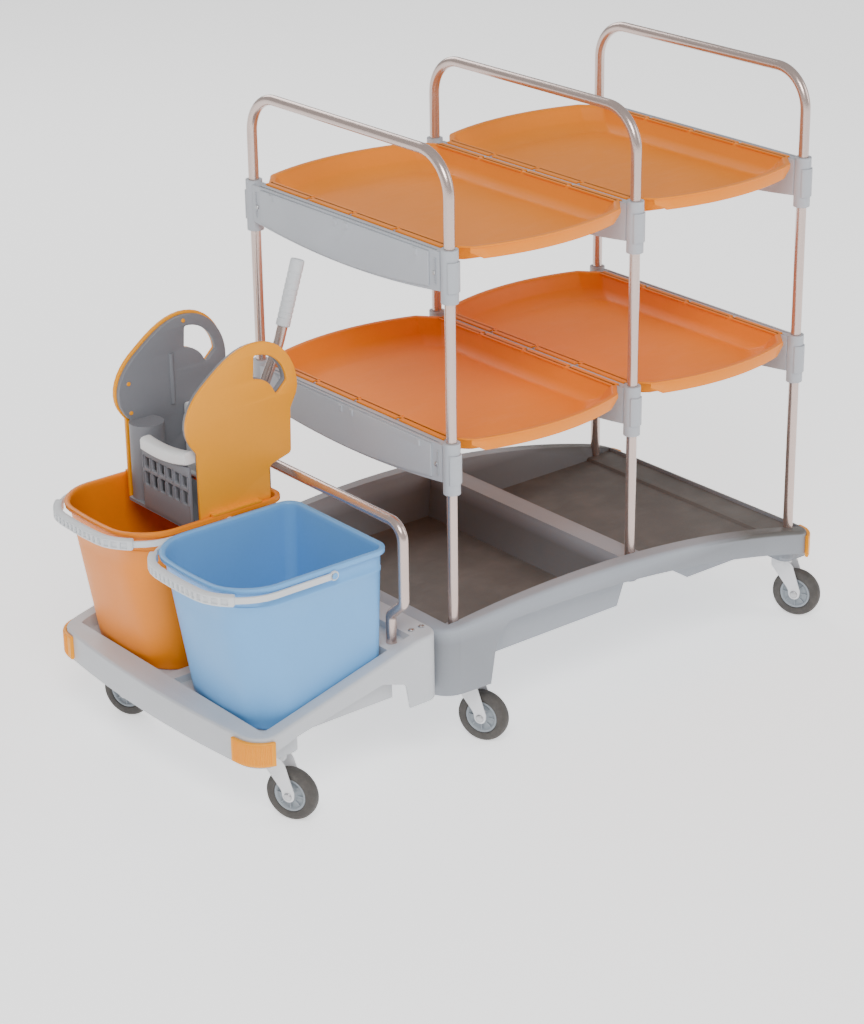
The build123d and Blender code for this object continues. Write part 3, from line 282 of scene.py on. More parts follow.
def steel(name, shade, rough=0.30):
    """Plated steel with fine brushing and dull spots."""
    if name in Finish.made:
        return Finish.made[name]
    make = Finish(name)
    brushed = make.noise(300.0, 3.0, 0.6, make.stretched(0.06, 1.0, 1.0))
    spots = make.noise(40.0, 5.0, 0.7).clamped(0.55, 0.8)
    base = make.blend(spots * 0.5, shade, tuple(c * 0.62 for c in shade[:3]) + (1.0,))
    Finish.made[name] = make.surface(base=base, rough=brushed * 0.16 + spots * 0.25 + rough, metal=1.0,
                                     normal=make.relief(brushed, 0.06, 0.0004))
    return Finish.made[name]


def rubber(name, shade):
    """Tread rubber with scuffed dust and fine pores."""
    if name in Finish.made:
        return Finish.made[name]
    make = Finish(name)
    dust = make.noise(55.0, 6.0, 0.7).clamped(0.42, 0.72)
    base = make.blend(dust * 0.22, shade, (0.23, 0.21, 0.19, 1.0))
    pores = make.noise(900.0, 3.0) + make.noise(120.0, 3.0) * 0.8
    Finish.made[name] = make.surface(base=base, rough=dust * 0.15 + 0.66,
                                     normal=make.relief(pores, 0.35, 0.0006))
    return Finish.made[name]


def finish_of(slot):
    """The finish that goes with a material slot of the record."""
    if slot == "satin_tube":
        return coated_tube("satin_tube", tint("tube"))
    if slot == "zinc_steel":
        return steel(slot, tint("steel"), 0.26)
    if slot == "tyre_rubber":
        return rubber("tyre_rubber", tint("tyre"))
    looks = {
        "deck_grey": ("deck", 0.50, 0.55, 0.08, 0.35),
        "platform_grey": ("platform", 0.46, 0.45, 0.06, 0.30),
        "panel_grey": ("panel", 0.44, 0.30, 0.04, 0.25),
        "collar_grey": ("collar", 0.42, 0.35, 0.05, 0.25),
        "orange_plastic": ("orange", 0.40, 0.18, 0.015, 0.30),
        "bumper_orange": ("amber", 0.42, 0.22, 0.01, 0.25),
        "blue_plastic": ("blue", 0.36, 0.15, 0.02, 0.30),
        "bail_grey": ("bail", 0.38, 0.20, 0.03, 0.30),
        "liner_grey": ("liner", 0.44, 0.35, 0.05, 0.30),
        "white_plastic": ("white", 0.38, 0.20, 0.06, 0.30),
        "caster_grey": ("fork", 0.36, 0.15, 0.08, 0.30),
        "hub_grey": ("hub", 0.45, 0.30, 0.12, 0.30),
    }
    shade, rough, grain, dust, scuffs = looks[slot]
    # Painted shade for the deck's well floors.
    well_shade = tint("well_shade") if slot == "deck_grey" else None
    return plastic(slot, tint(shade), rough, grain, dust=dust, scuffs=scuffs, well_shade=well_shade)


# ---------------------------------------------------------------- shapes


def rounded(corners, radii, steps=6):
    """Outline with its corners rounded: a fixed number of points for each rounded corner."""
    outline = []
    count = len(corners)
    for i, (corner, radius) in enumerate(zip(corners, radii)):
        here = Vector(corner)
        if radius <= 0:
            outline.append(here)
            continue
        back = (Vector(corners[i - 1]) - here).normalized()
        ahead = (Vector(corners[(i + 1) % count]) - here).normalized()
        half_angle = back.angle(ahead) / 2
        reach = radius / math.tan(half_angle)
        centre = here + (back + ahead).normalized() * (radius / math.sin(half_angle))
        start, end = here + back * reach - centre, here + ahead * reach - centre
        turn = math.atan2(start.cross(end), start.dot(end))
        for k in range(steps + 1):
            angle = turn * k / steps
            spin = Matrix.Rotation(angle, 2)
            outline.append(centre + spin @ start)
    return outline


def arc_points(first, middle, last, steps):
    """Points on the arc through three points of a plane."""
    a, b, c = Vector(first), Vector(middle), Vector(last)
    d = 2 * (a.x * (b.y - c.y) + b.x * (c.y - a.y) + c.x * (a.y - b.y))
    ux = (a.length_squared * (b.y - c.y) + b.length_squared * (c.y - a.y)
          + c.length_squared * (a.y - b.y)) / d
    uy = (a.length_squared * (c.x - b.x) + b.length_squared * (a.x - c.x)
          + c.length_squared * (b.x - a.x)) / d
    centre = Vector((ux, uy))
    start, mid, end = a - centre, b - centre, c - centre
    one = math.atan2(start.cross(mid), start.dot(mid))
    two = math.atan2(mid.cross(end), mid.dot(end))
    return [centre + Matrix.Rotation((one + two) * k / steps, 2) @ start for k in range(steps + 1)]


def bezier_points(handles, steps):
    """Points along joined cubic curves, each from its end, two handles and the next end."""
    line = [Vector(handles[0])]
    for i in range(0, len(handles) - 3, 3):
        a, b, c, d = (Vector(p) for p in handles[i:i + 4])
        for k in range(1, steps + 1):
            t = k / steps
            line.append(a * (1 - t) ** 3 + b * (3 * t * (1 - t) ** 2)
                        + c * (3 * t * t * (1 - t)) + d * t ** 3)
    return line


def route(corners, bends, steps=12):
    """Path in space with its corners rounded."""
    path = [Vector(corners[0])]
    for before, here, after, radius in zip(corners, corners[1:], corners[2:], bends):
        here = Vector(here)
        back, ahead = (Vector(before) - here).normalized(), (Vector(after) - here).normalized()
        half_angle = back.angle(ahead) / 2
        reach = radius / math.tan(half_angle)
        centre = here + (back + ahead).normalized() * (radius / math.sin(half_angle))
        start, end = here + back * reach - centre, here + ahead * reach - centre
        axis = start.cross(end).normalized()
        turn = start.angle(end)
        path += [centre + Matrix.Rotation(turn * k / steps, 3, axis) @ start for k in range(steps + 1)]
    return path + [Vector(corners[-1])]


def loose(x, y, z):
    """A point in millimetres of a unit shape that has no place on the cart yet."""
    return Vector((x, y, z)) / 1000


class Shell:
    """A mesh under construction; points are given in cart millimetres."""

    def __init__(self, place=at):
        self.mesh = bmesh.new()
        self.place = place

    def loft(self, rings, closed=True, caps=(True, True), looped=False):
        """Skin over rings with equal numbers of points."""
        rows = [[self.mesh.verts.new(self.place(*point)) for point in ring] for ring in rings]
        pairs = list(zip(rows, rows[1:])) + ([(rows[-1], rows[0])] if looped else [])
        for low, high in pairs:
            count = len(low)
            for i in range(count if closed else count - 1):
                j = (i + 1) % count
                self.mesh.faces.new((low[i], low[j], high[j], high[i]))
        if not looped:
            if caps[0]:
                self.mesh.faces.new(list(reversed(rows[0])))
            if caps[1]:
                self.mesh.faces.new(rows[-1])
        return self

    def turned(self, profile, centre, axis=(0, 0, 1), steps=32, looped=True):
        """Solid turned about an axis: the profile is (radius, height) pairs."""
        axis = Vector(axis).normalized()
        side = axis.orthogonal().normalized()
        front = axis.cross(side)
        centre = Vector(centre)
        rings = []
        for k in range(steps):
            angle = 2 * math.pi * k / steps
            out = side * math.cos(angle) + front * math.sin(angle)
            rings.append([centre + out * radius + axis * height for radius, height in profile])
        return self.loft(rings, closed=looped, caps=(False, False), looped=True)

    def block(self, low, high):
        """A plain block between two corners."""
        (x0, y0, z0), (x1, y1, z1) = low, high
        plan = [(x0, y0), (x1, y0), (x1, y1), (x0, y1)]
        return self.loft([[(x, y, z) for x, y in plan] for z in (z0, z1)])

    def take(self, mesh):
        """Adds a finished mesh that is in the row frame already."""
        self.mesh.from_mesh(mesh)
        return self

    def pipe(self, path, radius, sides=20):
        """Round bar along a path."""
        rings = []
        before = None
        for i, point in enumerate(path):
            ahead = (path[min(i + 1, len(path) - 1)] - path[max(i - 1, 0)]).normalized()
            if before is None:
                across = ahead.orthogonal().normalized()
            else:
                across = (before - ahead * before.dot(ahead)).normalized()
            before = across
            up = ahead.cross(across)
            rings.append([point + (across * math.cos(t) + up * math.sin(t)) * radius
                          for t in (2 * math.pi * k / sides for k in range(sides))])
        return self.loft(rings)


class Repeat:
    """A geometry-nodes row: copies of a unit shape spread evenly along a path, X along it and Z up."""

    group = None

    def __init__(self):
        if Repeat.group is None:
            Repeat.group = self.tree()

    def tree(self):
        """The node group, with the path, the unit, the count and the material as inputs."""
        tree = bpy.data.node_groups.new("copies_along_path", "GeometryNodeTree")
        for name, kind in (("Path", "Geometry"), ("Unit", "Object"), ("Count", "Int"),
                           ("Finish", "Material")):
            tree.interface.new_socket(name, in_out="INPUT", socket_type=f"NodeSocket{kind}")
        tree.interface.new_socket("Copies", in_out="OUTPUT", socket_type="NodeSocketGeometry")
        start = tree.nodes.new("NodeGroupInput")
        curve = tree.nodes.new("GeometryNodeMeshToCurve")
        spread = tree.nodes.new("GeometryNodeCurveToPoints")
        unit = tree.nodes.new("GeometryNodeObjectInfo")
        turn = tree.nodes.new("FunctionNodeAlignRotationToVector")
        turn.axis, turn.pivot_axis = "X", "Z"
        copies = tree.nodes.new("GeometryNodeInstanceOnPoints")
        solid = tree.nodes.new("GeometryNodeRealizeInstances")
        finish = tree.nodes.new("GeometryNodeSetMaterial")
        end = tree.nodes.new("NodeGroupOutput")
        for source, out, target, into in (
                (start, "Path", curve, "Mesh"), (curve, "Curve", spread, "Curve"),
                (start, "Count", spread, "Count"),
                (spread, "Points", copies, "Points"), (spread, "Tangent", turn, "Vector"),
                (start, "Unit", unit, "Object"), (unit, "Geometry", copies, "Instance"),
                (turn, "Rotation", copies, "Rotation"), (copies, "Instances", solid, "Geometry"),
                (solid, "Geometry", finish, "Geometry"), (start, "Finish", finish, "Material"),
                (finish, "Geometry", end, "Copies")):
            tree.links.new(source.outputs[out], target.inputs[into])
        return tree

    def along(self, path, unit, count, slot):
        """A plain mesh of the copies, in the row frame."""
        line = bpy.data.meshes.new("path")
        line.from_pydata([at(*p) for p in path], [(i, i + 1) for i in range(len(path) - 1)], [])
        shape = bpy.data.meshes.new("unit")
        bmesh.ops.recalc_face_normals(unit.mesh, faces=unit.mesh.faces)
        unit.mesh.to_mesh(shape)
        holder, sample = (bpy.data.objects.new(name, mesh) for name, mesh in (("row", line), ("unit", shape)))
        for made in (holder, sample):
            bpy.context.scene.collection.objects.link(made)
        row = holder.modifiers.new("copies", "NODES")
        row.node_group = Repeat.group
        values = {"Unit": sample, "Count": count, "Finish": finish_of(slot)}
        for item in Repeat.group.interface.items_tree:
            if item.name in values:
                row[item.identifier] = values[item.name]
        depsgraph = bpy.context.evaluated_depsgraph_get()
        mesh = bpy.data.meshes.new_from_object(holder.evaluated_get(depsgraph))
        holder.modifiers.remove(row)
        for made in (holder, sample):
            bpy.data.objects.remove(made)
        return mesh


def slab(outlines, thickness, edge, place):
    """Plate with rounded edges: the first outline is its rim, the others are holes."""
    curve = bpy.data.curves.new("slab", "CURVE")
    curve.dimensions = "2D"
    curve.fill_mode = "BOTH"
    curve.extrude = thickness / 2 - edge
    curve.bevel_depth = edge
    curve.bevel_resolution = 2
    curve.offset = -edge
    for outline in outlines:
        spline = curve.splines.new("POLY")
        spline.points.add(len(outline) - 1)
        for point, (u, v) in zip(spline.points, outline):
            point.co = (u, v, 0.0, 1.0)
        spline.use_cyclic_u = True
    holder = bpy.data.objects.new("slab", curve)
    bpy.context.scene.collection.objects.link(holder)
    depsgraph = bpy.context.evaluated_depsgraph_get()
    mesh = bpy.data.meshes.new_from_object(holder.evaluated_get(depsgraph))
    bpy.data.objects.remove(holder)
    mesh.transform(place)
    return mesh


def facing_side(x, y, z):
    """Placement of a slab drawn in X and Z millimetres, its middle at y."""
    turn = Matrix(((0.001, 0, 0, 0), (0, 0, 0.001, 0), (0, 0.001, 0, 0), (0, 0, 0, 1)))
    return Matrix.Translation(at(x, y, z)) @ turn


def facing_end(x, y, z):
    """Placement of a slab drawn in Y and Z millimetres, its middle at x."""
    turn = Matrix(((0, 0, 0.001, 0), (0.001, 0, 0, 0), (0, 0.001, 0, 0), (0, 0, 0, 1)))
    return Matrix.Translation(at(x, y, z)) @ turn


def piece(name, shell, slot, body, stands_for=(), bevel=0.0, segments=2, smooth=34.0, refine=0):
    """Finishes a shell as a piece that rides on a body and stands for CAD nodes."""
    data = bpy.data.meshes.new(name)
    bmesh.ops.remove_doubles(shell.mesh, verts=shell.mesh.verts, dist=1e-6)
    bmesh.ops.recalc_face_normals(shell.mesh, faces=shell.mesh.faces)
    shell.mesh.to_mesh(data)
    shell.mesh.free()
    made = bpy.data.objects.new(name, data)
    bpy.context.scene.collection.objects.link(made)
    data.materials.append(finish_of(slot))
    for polygon in data.polygons:
        polygon.use_smooth = True
        polygon.material_index = 0
    data.set_sharp_from_angle(angle=math.radians(smooth))
    if bevel:
        soft = made.modifiers.new("edges", "BEVEL")
        soft.width = bevel
        soft.segments = segments
        soft.limit_method = "ANGLE"
        soft.angle_limit = math.radians(smooth)
        soft.harden_normals = False
        soft.use_clamp_overlap = True
    if refine:
        fine = made.modifiers.new("refine", "SUBSURF")
        fine.levels = fine.render_levels = refine
    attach(made, body)
    if stands_for:
        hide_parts(*stands_for)
    return made


def slot_of(node):
    """The record's material slot of a node."""
    return next(s["material_slot"] for s in frame["record"]["subparts"] if s["node"] == node)


def body_of(node):
    """The body that a node rides on."""
    return next(b for b, nodes in frame["record"]["behaviour"]["bodies"].items() if node in nodes)


def merged(node):
    """A shell of a CAD node with its seams joined and its flat faces merged."""
    shell = Shell()
    shell.mesh.from_mesh(frame["nodes"][node].data)
    bmesh.ops.remove_doubles(shell.mesh, verts=shell.mesh.verts, dist=2e-6)
    bmesh.ops.dissolve_limit(shell.mesh, angle_limit=math.radians(0.8), verts=shell.mesh.verts,
                             edges=shell.mesh.edges)
    return shell


def from_cad(node, bevel=0.0, segments=2, smooth=30.0):
    """A merged copy of a CAD node with softened edges."""
    shell = merged(node)
    return piece(f"{node}_look", shell, slot_of(node), body_of(node), (node,), bevel, segments, smooth)


# ---------------------------------------------------------------- pieces


class CART_OT_trays(bpy.types.Operator):
    """Four deep lift-out trays with rolled rims and hooked ends"""

    bl_idname = "cart.trays"
    bl_label = "Lift-out trays"

    steps = ((0.0, 0.0, -3.4, 11.0), (-0.8, -0.8, -2.6, 11.5), (-0.8, -0.8, -0.9, 11.5),
             (0.0, 0.0, 0.0, 11.0), (3.0, 7.5, 0.0, 9.0), (5.0, 10.5, -1.2, 8.5), (6.5, 12.5, -4.5, 8.5),
             (14.2, 30.0, -25.0, 14.0), (17.0, 35.0, -30.5, 18.0), (29.0, 62.0, -39.5, 20.0),
             (33.0, 69.0, -41.6, 18.0), (42.0, 80.0, -42.0, 14.0))

    def outline(self, inset_x, inset_y, corner):
        """Plan of a tray: straight ends, cut corners and bowed long sides."""
        fx, fy = (204.5 - inset_x) / 204.5, (330.0 - inset_y) / 330.0
        end = [(204.5 * fx, -262.0 * fy), (204.5 * fx, 262.0 * fy)]
        bow = arc_points((172.0 * fx, 300.0 * fy), (0, 330.0 * fy), (-172.0 * fx, 300.0 * fy), 12)
        plan = end + [tuple(p) for p in bow]
        plan += [(-x, -y) for x, y in plan]
        radii = [corner, corner, corner] + [0] * 11 + [corner]
        return rounded(plan, radii * 2, 5)

    def execute(self, context):
        for level, top in LEVELS.items():
            for bay, start in (("left", 0.0), ("right", 440.0)):
                rim = top - 6.0 + 0.3 + 2.8
                x = start + 220.0
                shell = Shell()
                inner = [[(x + u, v, rim + z) for u, v in self.outline(a, b, r)] for a, b, z, r in self.steps]
                outer = [[(x + u, v, rim + z) for u, v in self.outline(a, b, r)] for a, b, z, r in
                         ((40.0, 78.0, -44.4, 12.0), (31.0, 66.0, -43.6, 16.0), (27.0, 59.0, -41.0, 18.0),
                          (15.0, 32.0, -31.5, 16.0), (12.0, 27.0, -26.0, 14.0), (4.0, 9.5, -5.0, 9.0),
                          (2.5, 5.0, -2.9, 9.5))]
                shell.loft(outer + inner)
                for side in (-1, 1):
                    tip, root = 220.0 - 5.5, 196.0
                    profile = [(root, -2.8), (root, 0.0), (tip - 1.0, 0.0), (tip, -0.9), (tip, -9.6),
                               (tip - 1.0, -9.8), (tip - 2.0, -9.6), (tip - 2.0, -2.8)]
                    for y0, y1 in ((-259.0, -132.0), (-122.0, -5.0), (5.0, 122.0), (132.0, 259.0)):
                        rings = [[(x + side * u, y, rim + w) for u, w in profile] for y in (y0, y1)]
                        shell.loft(rings)
                for side in (-1, 1):
                    bow = arc_points((-178, 296), (0, 329.4), (178, 296), 28)
                    skirt = []
                    for i, p in enumerate(bow):
                        drop = 25.0 - 14.0 * max(0.0, 1.0 - min(i, 28 - i) / 2.0)
                        skirt.append([(x + p.x, side * (p.y - a), rim + w) for a, w in
                                      ((0.4, -1.0), (0.0, -2.0), (0.0, -drop + 1.0), (0.9, -drop),
                                       (1.7, -drop), (2.5, -drop + 1.0), (2.5, -1.0))])
                    shell.loft(skirt)
                name = f"tray_{level}_{bay}"
                piece(f"{name}_moulding", shell, "orange_plastic", name, (name,), smooth=40.0)
        return {"FINISHED"}


class CART_OT_tubes(bpy.types.Operator):
    """Three tall hoops and the low tube behind the buckets"""

    bl_idname = "cart.tubes"
    bl_label = "Bent tubes"

    def execute(self, context):
        bend = sizes().tube_bend * 1000
        for place, (low, high) in HOOP_BOX.items():
            x = HOOP_X[place] - END_X
            foot, top = low.z * 1000, high.z * 1000 - 10.0
            path = route([(x, -290, foot), (x, -290, top), (x, 290, top), (x, 290, foot)], (bend, bend), 18)
            piece(f"hoop_{place}_tube", Shell().pipe(path, 10.0, 28), "satin_tube", "frame",
                  (f"hoop_{place}",))
        right = [(-134, 276, 224), (-134, 276, 318), (-134, 315, 352), (-134, 315, 505)]
        left = [(x, -y, z) for x, y, z in reversed(right)]
        path = route(right + left, (18, 18, 34, 34, 18, 18), 12)
        piece("low_tube", Shell().pipe(path, 10.0, 28), "satin_tube", "frame", ("bucket_tube",))
        return {"FINISHED"}


class CART_OT_plain(bpy.types.Operator):
    """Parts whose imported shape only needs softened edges"""

    bl_idname = "cart.plain"
    bl_label = "Softened parts"

    def execute(self, context):
        for node in sorted(frame["nodes"]):
            if not frame["nodes"][node].hide_render:
                from_cad(node, sizes().edge)
        return {"FINISHED"}


class CART_OT_details(bpy.types.Operator):
    """Screws, ribbed front bumpers and toothed collar edges, repeated along their paths"""

    bl_idname = "cart.details"
    bl_label = "Repeated details"

    def screws(self):
        """Pan heads with a round recess on the platform's rear block and the end beams."""
        node = frame["nodes"]["screws"]
        shell = Shell()
        seen = []
        for vertex in node.data.vertices:
            spot = vertex.co * 1000 - Vector((END_X, 0, 0))
            for group in seen:
                if (group[0] - spot).length < 14.0:
                    group.append(spot)
                    break
            else:
                seen.append([spot])
        for group in seen:
            low = Vector(min(p[i] for p in group) for i in range(3))
            high = Vector(max(p[i] for p in group) for i in range(3))
            middle, reach = (low + high) / 2, high - low
            thin = min(range(3), key=lambda i: reach[i])
            way = Vector((0, 0, 1)) if thin == 2 else Vector((1 if middle.x > 0 else -1, 0, 0))
            radius, height = max(reach) / 2, min(reach)
            foot = middle - way * height / 2
            shell.turned([(0.3, 0.0), (radius, 0.0), (radius, height * 0.35), (radius * 0.86, height * 0.78),
                          (radius * 0.5, height), (radius * 0.36, height), (radius * 0.24, height * 0.45),
                          (0.3, height * 0.4)], foot, way, 28)
        piece("screw_heads", shell, "zinc_steel", "frame", ("screws",), smooth=40.0)

    def collars(self):
        """Rows of small teeth on the outer faces of the end beams, beside the collars."""
        shell = Shell()
        for top in LEVELS.values():
            for place, out in (("left", -1), ("right", 1)):
                x = HOOP_X[place] - END_X + out * 13.0
                outline = ((-3.0, -0.9), (3.0, -0.9), (2.4, 0.9), (-2.4, 0.9))
                tooth = Shell(loose).loft([[(a, b, z) for a, b in outline] for z in (-1.4, -1.0, 1.0, 1.4)])
                for side in (-1, 1):
                    face = x + out * 0.7
                    line = [(face, side * 266.0, top - 20.0), (face, side * 266.01, top - 66.0)]
                    shell.take(Repeat().along(line, tooth, sizes().collar_teeth, "collar_grey"))
        piece("collar_teeth", shell, "collar_grey", "frame", smooth=40.0)

    def bumpers(self):
        """Corner bumpers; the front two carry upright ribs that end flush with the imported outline."""
        shell = merged("corner_bumpers")
        shell.mesh.normal_update()
        shell.mesh.verts.index_update()
        front = [v for v in shell.mesh.verts if v.co.x * 1000 < END_X]
        rib = Shell(loose).loft([[(a, b, z) for a, b in ((-1.1, -0.9), (1.1, -0.9), (0.7, 0.9), (-0.7, 0.9))]
                                 for z in (-19.5, -18.5, 18.5, 19.5)])
        ribs = []
        for side in (-1, 1):
            corner = [v for v in front if v.co.y * side > 0]
            heart = sum((v.co for v in corner), Vector()) / len(corner) + Vector((0.045, -side * 0.045, 0.0))
            outward = [v for v in corner if Vector((v.co - heart).xy).normalized().dot(v.normal.xy) > 0.5]
            spots = sorted((math.atan2(v.co.y - heart.y, heart.x - v.co.x), v.index) for v in outward
                           if 0.1390 < v.co.z < 0.1402)
            for vertex in outward:
                vertex.co -= Vector((vertex.normal.x, vertex.normal.y, 0.0)).normalized() * 0.0009
            by_index = {v.index: v for v in outward}
            path = [Vector((by_index[i].co.x * 1000 - END_X, by_index[i].co.y * 1000, 160.5))
                    for _, i in spots]
            if len(path) > 3:
                ribs.append(Repeat().along(path[2:-2], rib, sizes().bumper_ribs, "bumper_orange"))
        for mesh in ribs:
            shell.take(mesh)
        piece("bumper_mouldings", shell, "bumper_orange", "frame", ("corner_bumpers",), smooth=34.0)

    def execute(self, context):
        self.screws()
        self.collars()
        self.bumpers()
        return {"FINISHED"}


class CART_OT_stage(bpy.types.Operator):
    """Pale floor, soft studio lights and the camera"""

    bl_idname = "cart.stage"
    bl_label = "Stage"

    def execute(self, context):
        scene = context.scene
        mesh = bpy.data.meshes.new("studio_floor")
        mesh.from_pydata([(-30, -30, 0), (30, -30, 0), (30, 30, 0), (-30, 30, 0)], [], [(0, 1, 2, 3)])
        floor = bpy.data.objects.new("studio_floor", mesh)
        scene.collection.objects.link(floor)
        make = Finish("studio_floor")
        mesh.materials.append(make.surface(base=tint("floor"), rough=0.7, specular=0.2, glow=tint("floor"),
                                           glow_power=1.0))
        world = bpy.data.worlds.new("studio")
        world.use_nodes = True
        world.node_tree.nodes["Background"].inputs[0].default_value = (1.0, 1.0, 1.0, 1.0)
        world.node_tree.nodes["Background"].inputs[1].default_value = 0.50
        scene.world = world
        lights = (
            ("key", (-2.6, -3.2, 4.2), (0.1, 0.0, 0.4), 2.4, 190.0),
            ("fill", (3.6, -3.0, 2.6), (0.1, 0.0, 0.4), 3.0, 55.0),
            ("rim", (1.0, 4.5, 3.6), (0.1, 0.0, 0.5), 3.0, 80.0),
        )
        for name, place, target, size, power in lights:
            light = bpy.data.lights.new(name, "AREA")
            light.energy = power
            light.shape = "DISK"
            light.size = size
            lamp = bpy.data.objects.new(name, light)
            lamp.location = place
            lamp.rotation_euler = (Vector(place) - Vector(target)).to_track_quat("Z", "Y").to_euler()
            scene.collection.objects.link(lamp)
        lens = bpy.data.cameras.new("camera")
        lens.sensor_fit = "VERTICAL"
        lens.sensor_height = 36.0
        lens.lens = 94.26
        lens.clip_end = 60.0
        camera = bpy.data.objects.new("camera", lens)
        turn, rise, roll = math.radians(-38.81), math.radians(23.206), math.radians(-0.808)
        back = Vector((math.sin(turn) * math.cos(rise), -math.cos(turn) * math.cos(rise), math.sin(rise)))
        side = Vector((0, 0, 1)).cross(back).normalized()
        up = back.cross(side)
        right = side * math.cos(roll) + up * math.sin(roll)
        top = up * math.cos(roll) - side * math.sin(roll)
        camera.matrix_world = Matrix.Translation(at(-2812.148, -3727.972, 2389.954)) @ Matrix(
            (right, top, back)).transposed().to_4x4()
        scene.collection.objects.link(camera)
        scene.camera = camera
        return {"FINISHED"}


class CART_OT_casters(bpy.types.Operator):
    """Six swivel casters: raceways, forks, bolts, hubs and tyres"""

    bl_idname = "cart.casters"
    bl_label = "Swivel casters"

    def execute(self, context):
        mounts = Shell()
        for name in CASTERS:
            swivel = next(j for j in frame["joints"] if j["name"] == f"swivel_{name}")
            roll = next(j for j in frame["joints"] if j["name"] == f"roll_{name}")
            pivot = Vector(swivel["pos_m"]) * 1000 - Vector((END_X, 0, swivel["pos_m"][2] * 1000))
            axle = Vector(roll["pos_m"]) * 1000 - Vector((END_X, 0, 0))
            across = Vector(roll["axis"]).normalized()
            trail = (axle - pivot)
            trail.z = 0
            trail.normalize()
            mounts.turned([(0.5, 155.0), (7.8, 155.0), (7.8, 132.0), (18.2, 132.0), (19.0, 131.4),
                           (19.0, 129.0), (18.4, 128.0), (5.0, 128.0), (5.0, 111.6), (7.4, 111.6),
                           (8.0, 111.0), (8.0, 109.4), (7.0, 108.6), (0.5, 108.6)], pivot, steps=28)
            fork = Shell()
            fork.turned([(5.2, 112.0), (19.0, 112.0), (20.6, 112.8), (21.0, 114.4), (21.0, 120.0),
                         (20.0, 123.6), (17.4, 126.4), (13.0, 127.5), (5.2, 127.6)], pivot, steps=36)
            outline = rounded([(-17, 126), (17, 126), (29, 112), (47, 58), (45, 39), (24, 39), (21, 60),
                               (-17, 108)], [4, 10, 18, 13, 11.5, 11.5, 22, 9], 6)
            hole = [(34 + 5.2 * math.cos(t), 50 + 5.2 * math.sin(t))
                    for t in (-2 * math.pi * k / 20 for k in range(20))]
            for side in (-1, 1):
                turn = Matrix((trail, Vector((0, 0, 1)), across)).transposed().to_4x4()
                place = (Matrix.Translation(at(*(pivot + across * side * 16.75))) @ turn
                         @ Matrix.Scale(0.001, 4))
                fork.take(slab([outline, hole], 2.5, 0.7, place))
                for u in (-9.0, 9.0):
                    low = pivot + trail * u + across * side * 15.0
                    gusset = [low + trail * a + across * side * b
                              for a, b in ((-1.2, -6), (1.2, -6), (1.2, 1), (-1.2, 1))]
                    fork.loft([[p + Vector((0, 0, z)) for p in gusset] for z in (106.0, 114.0)])
            piece(f"fork_{name}_moulding", fork, "caster_grey", f"caster_{name}", (f"fork_{name}",),
                  smooth=40.0)
            bolt = Shell()
            profile = [(0.4, -21.0), (5.5, -21.0), (7.4, -20.2), (8.0, -18.8), (8.0, -18.0), (5.0, -18.0),
                       (5.0, 18.0), (8.0, 18.0), (8.0, 18.8), (7.4, 20.2), (5.5, 21.0), (0.4, 21.0)]
            bolt.turned(profile, axle, across, 6 * 4)
            piece(f"axle_{name}", bolt, "zinc_steel", f"caster_{name}", smooth=50.0)
            hub = Shell()
            half = [(32.0, 0.0), (32.0, 9.8), (31.4, 10.8), (30.4, 11.0), (28.4, 11.0), (27.4, 10.4),
                    (25.8, 7.2), (24.4, 6.2), (21.6, 6.0), (16.6, 6.6), (15.0, 7.4), (13.6, 10.0),
                    (11.4, 13.6), (10.8, 15.0), (9.6, 15.1), (5.1, 15.1)]
            hub.turned([(r, -z) for r, z in reversed(half)] + half[1:], axle, across, 48)
            for k in range(8):
                spin = Matrix.Rotation(2 * math.pi * k / 8, 3, across)
                out = spin @ trail
                beside = across.cross(out)
                for side in (-1, 1):
                    foot = [axle + out * r + beside * b
                            for r, b in ((13.5, -1.4), (26.6, -1.0), (26.6, 1.0), (13.5, 1.4))]
                    hub.loft([[p + across * side * w for p in foot] for w in (5.6, 9.4)])
            piece(f"hub_{name}_moulding", hub, "hub_grey", f"wheel_{name}", (f"hub_{name}",), smooth=40.0)
            tyre = Shell()
            half = [(32.0, 10.6), (32.6, 11.9), (34.4, 12.5), (42.4, 12.5), (46.2, 11.5), (48.6, 8.9),
                    (49.8, 5.2)]
            ring = half + [(50.0, 0.0)] + [(r, -z) for r, z in reversed(half)]
            tyre.turned(ring, axle, across, 72)
            piece(f"tyre_{name}_tread", tyre, "tyre_rubber", f"wheel_{name}", (f"tyre_{name}",), smooth=50.0)
        piece("caster_raceways", mounts, "zinc_steel", "frame", ("caster_mounts",), smooth=40.0)
        return {"FINISHED"}


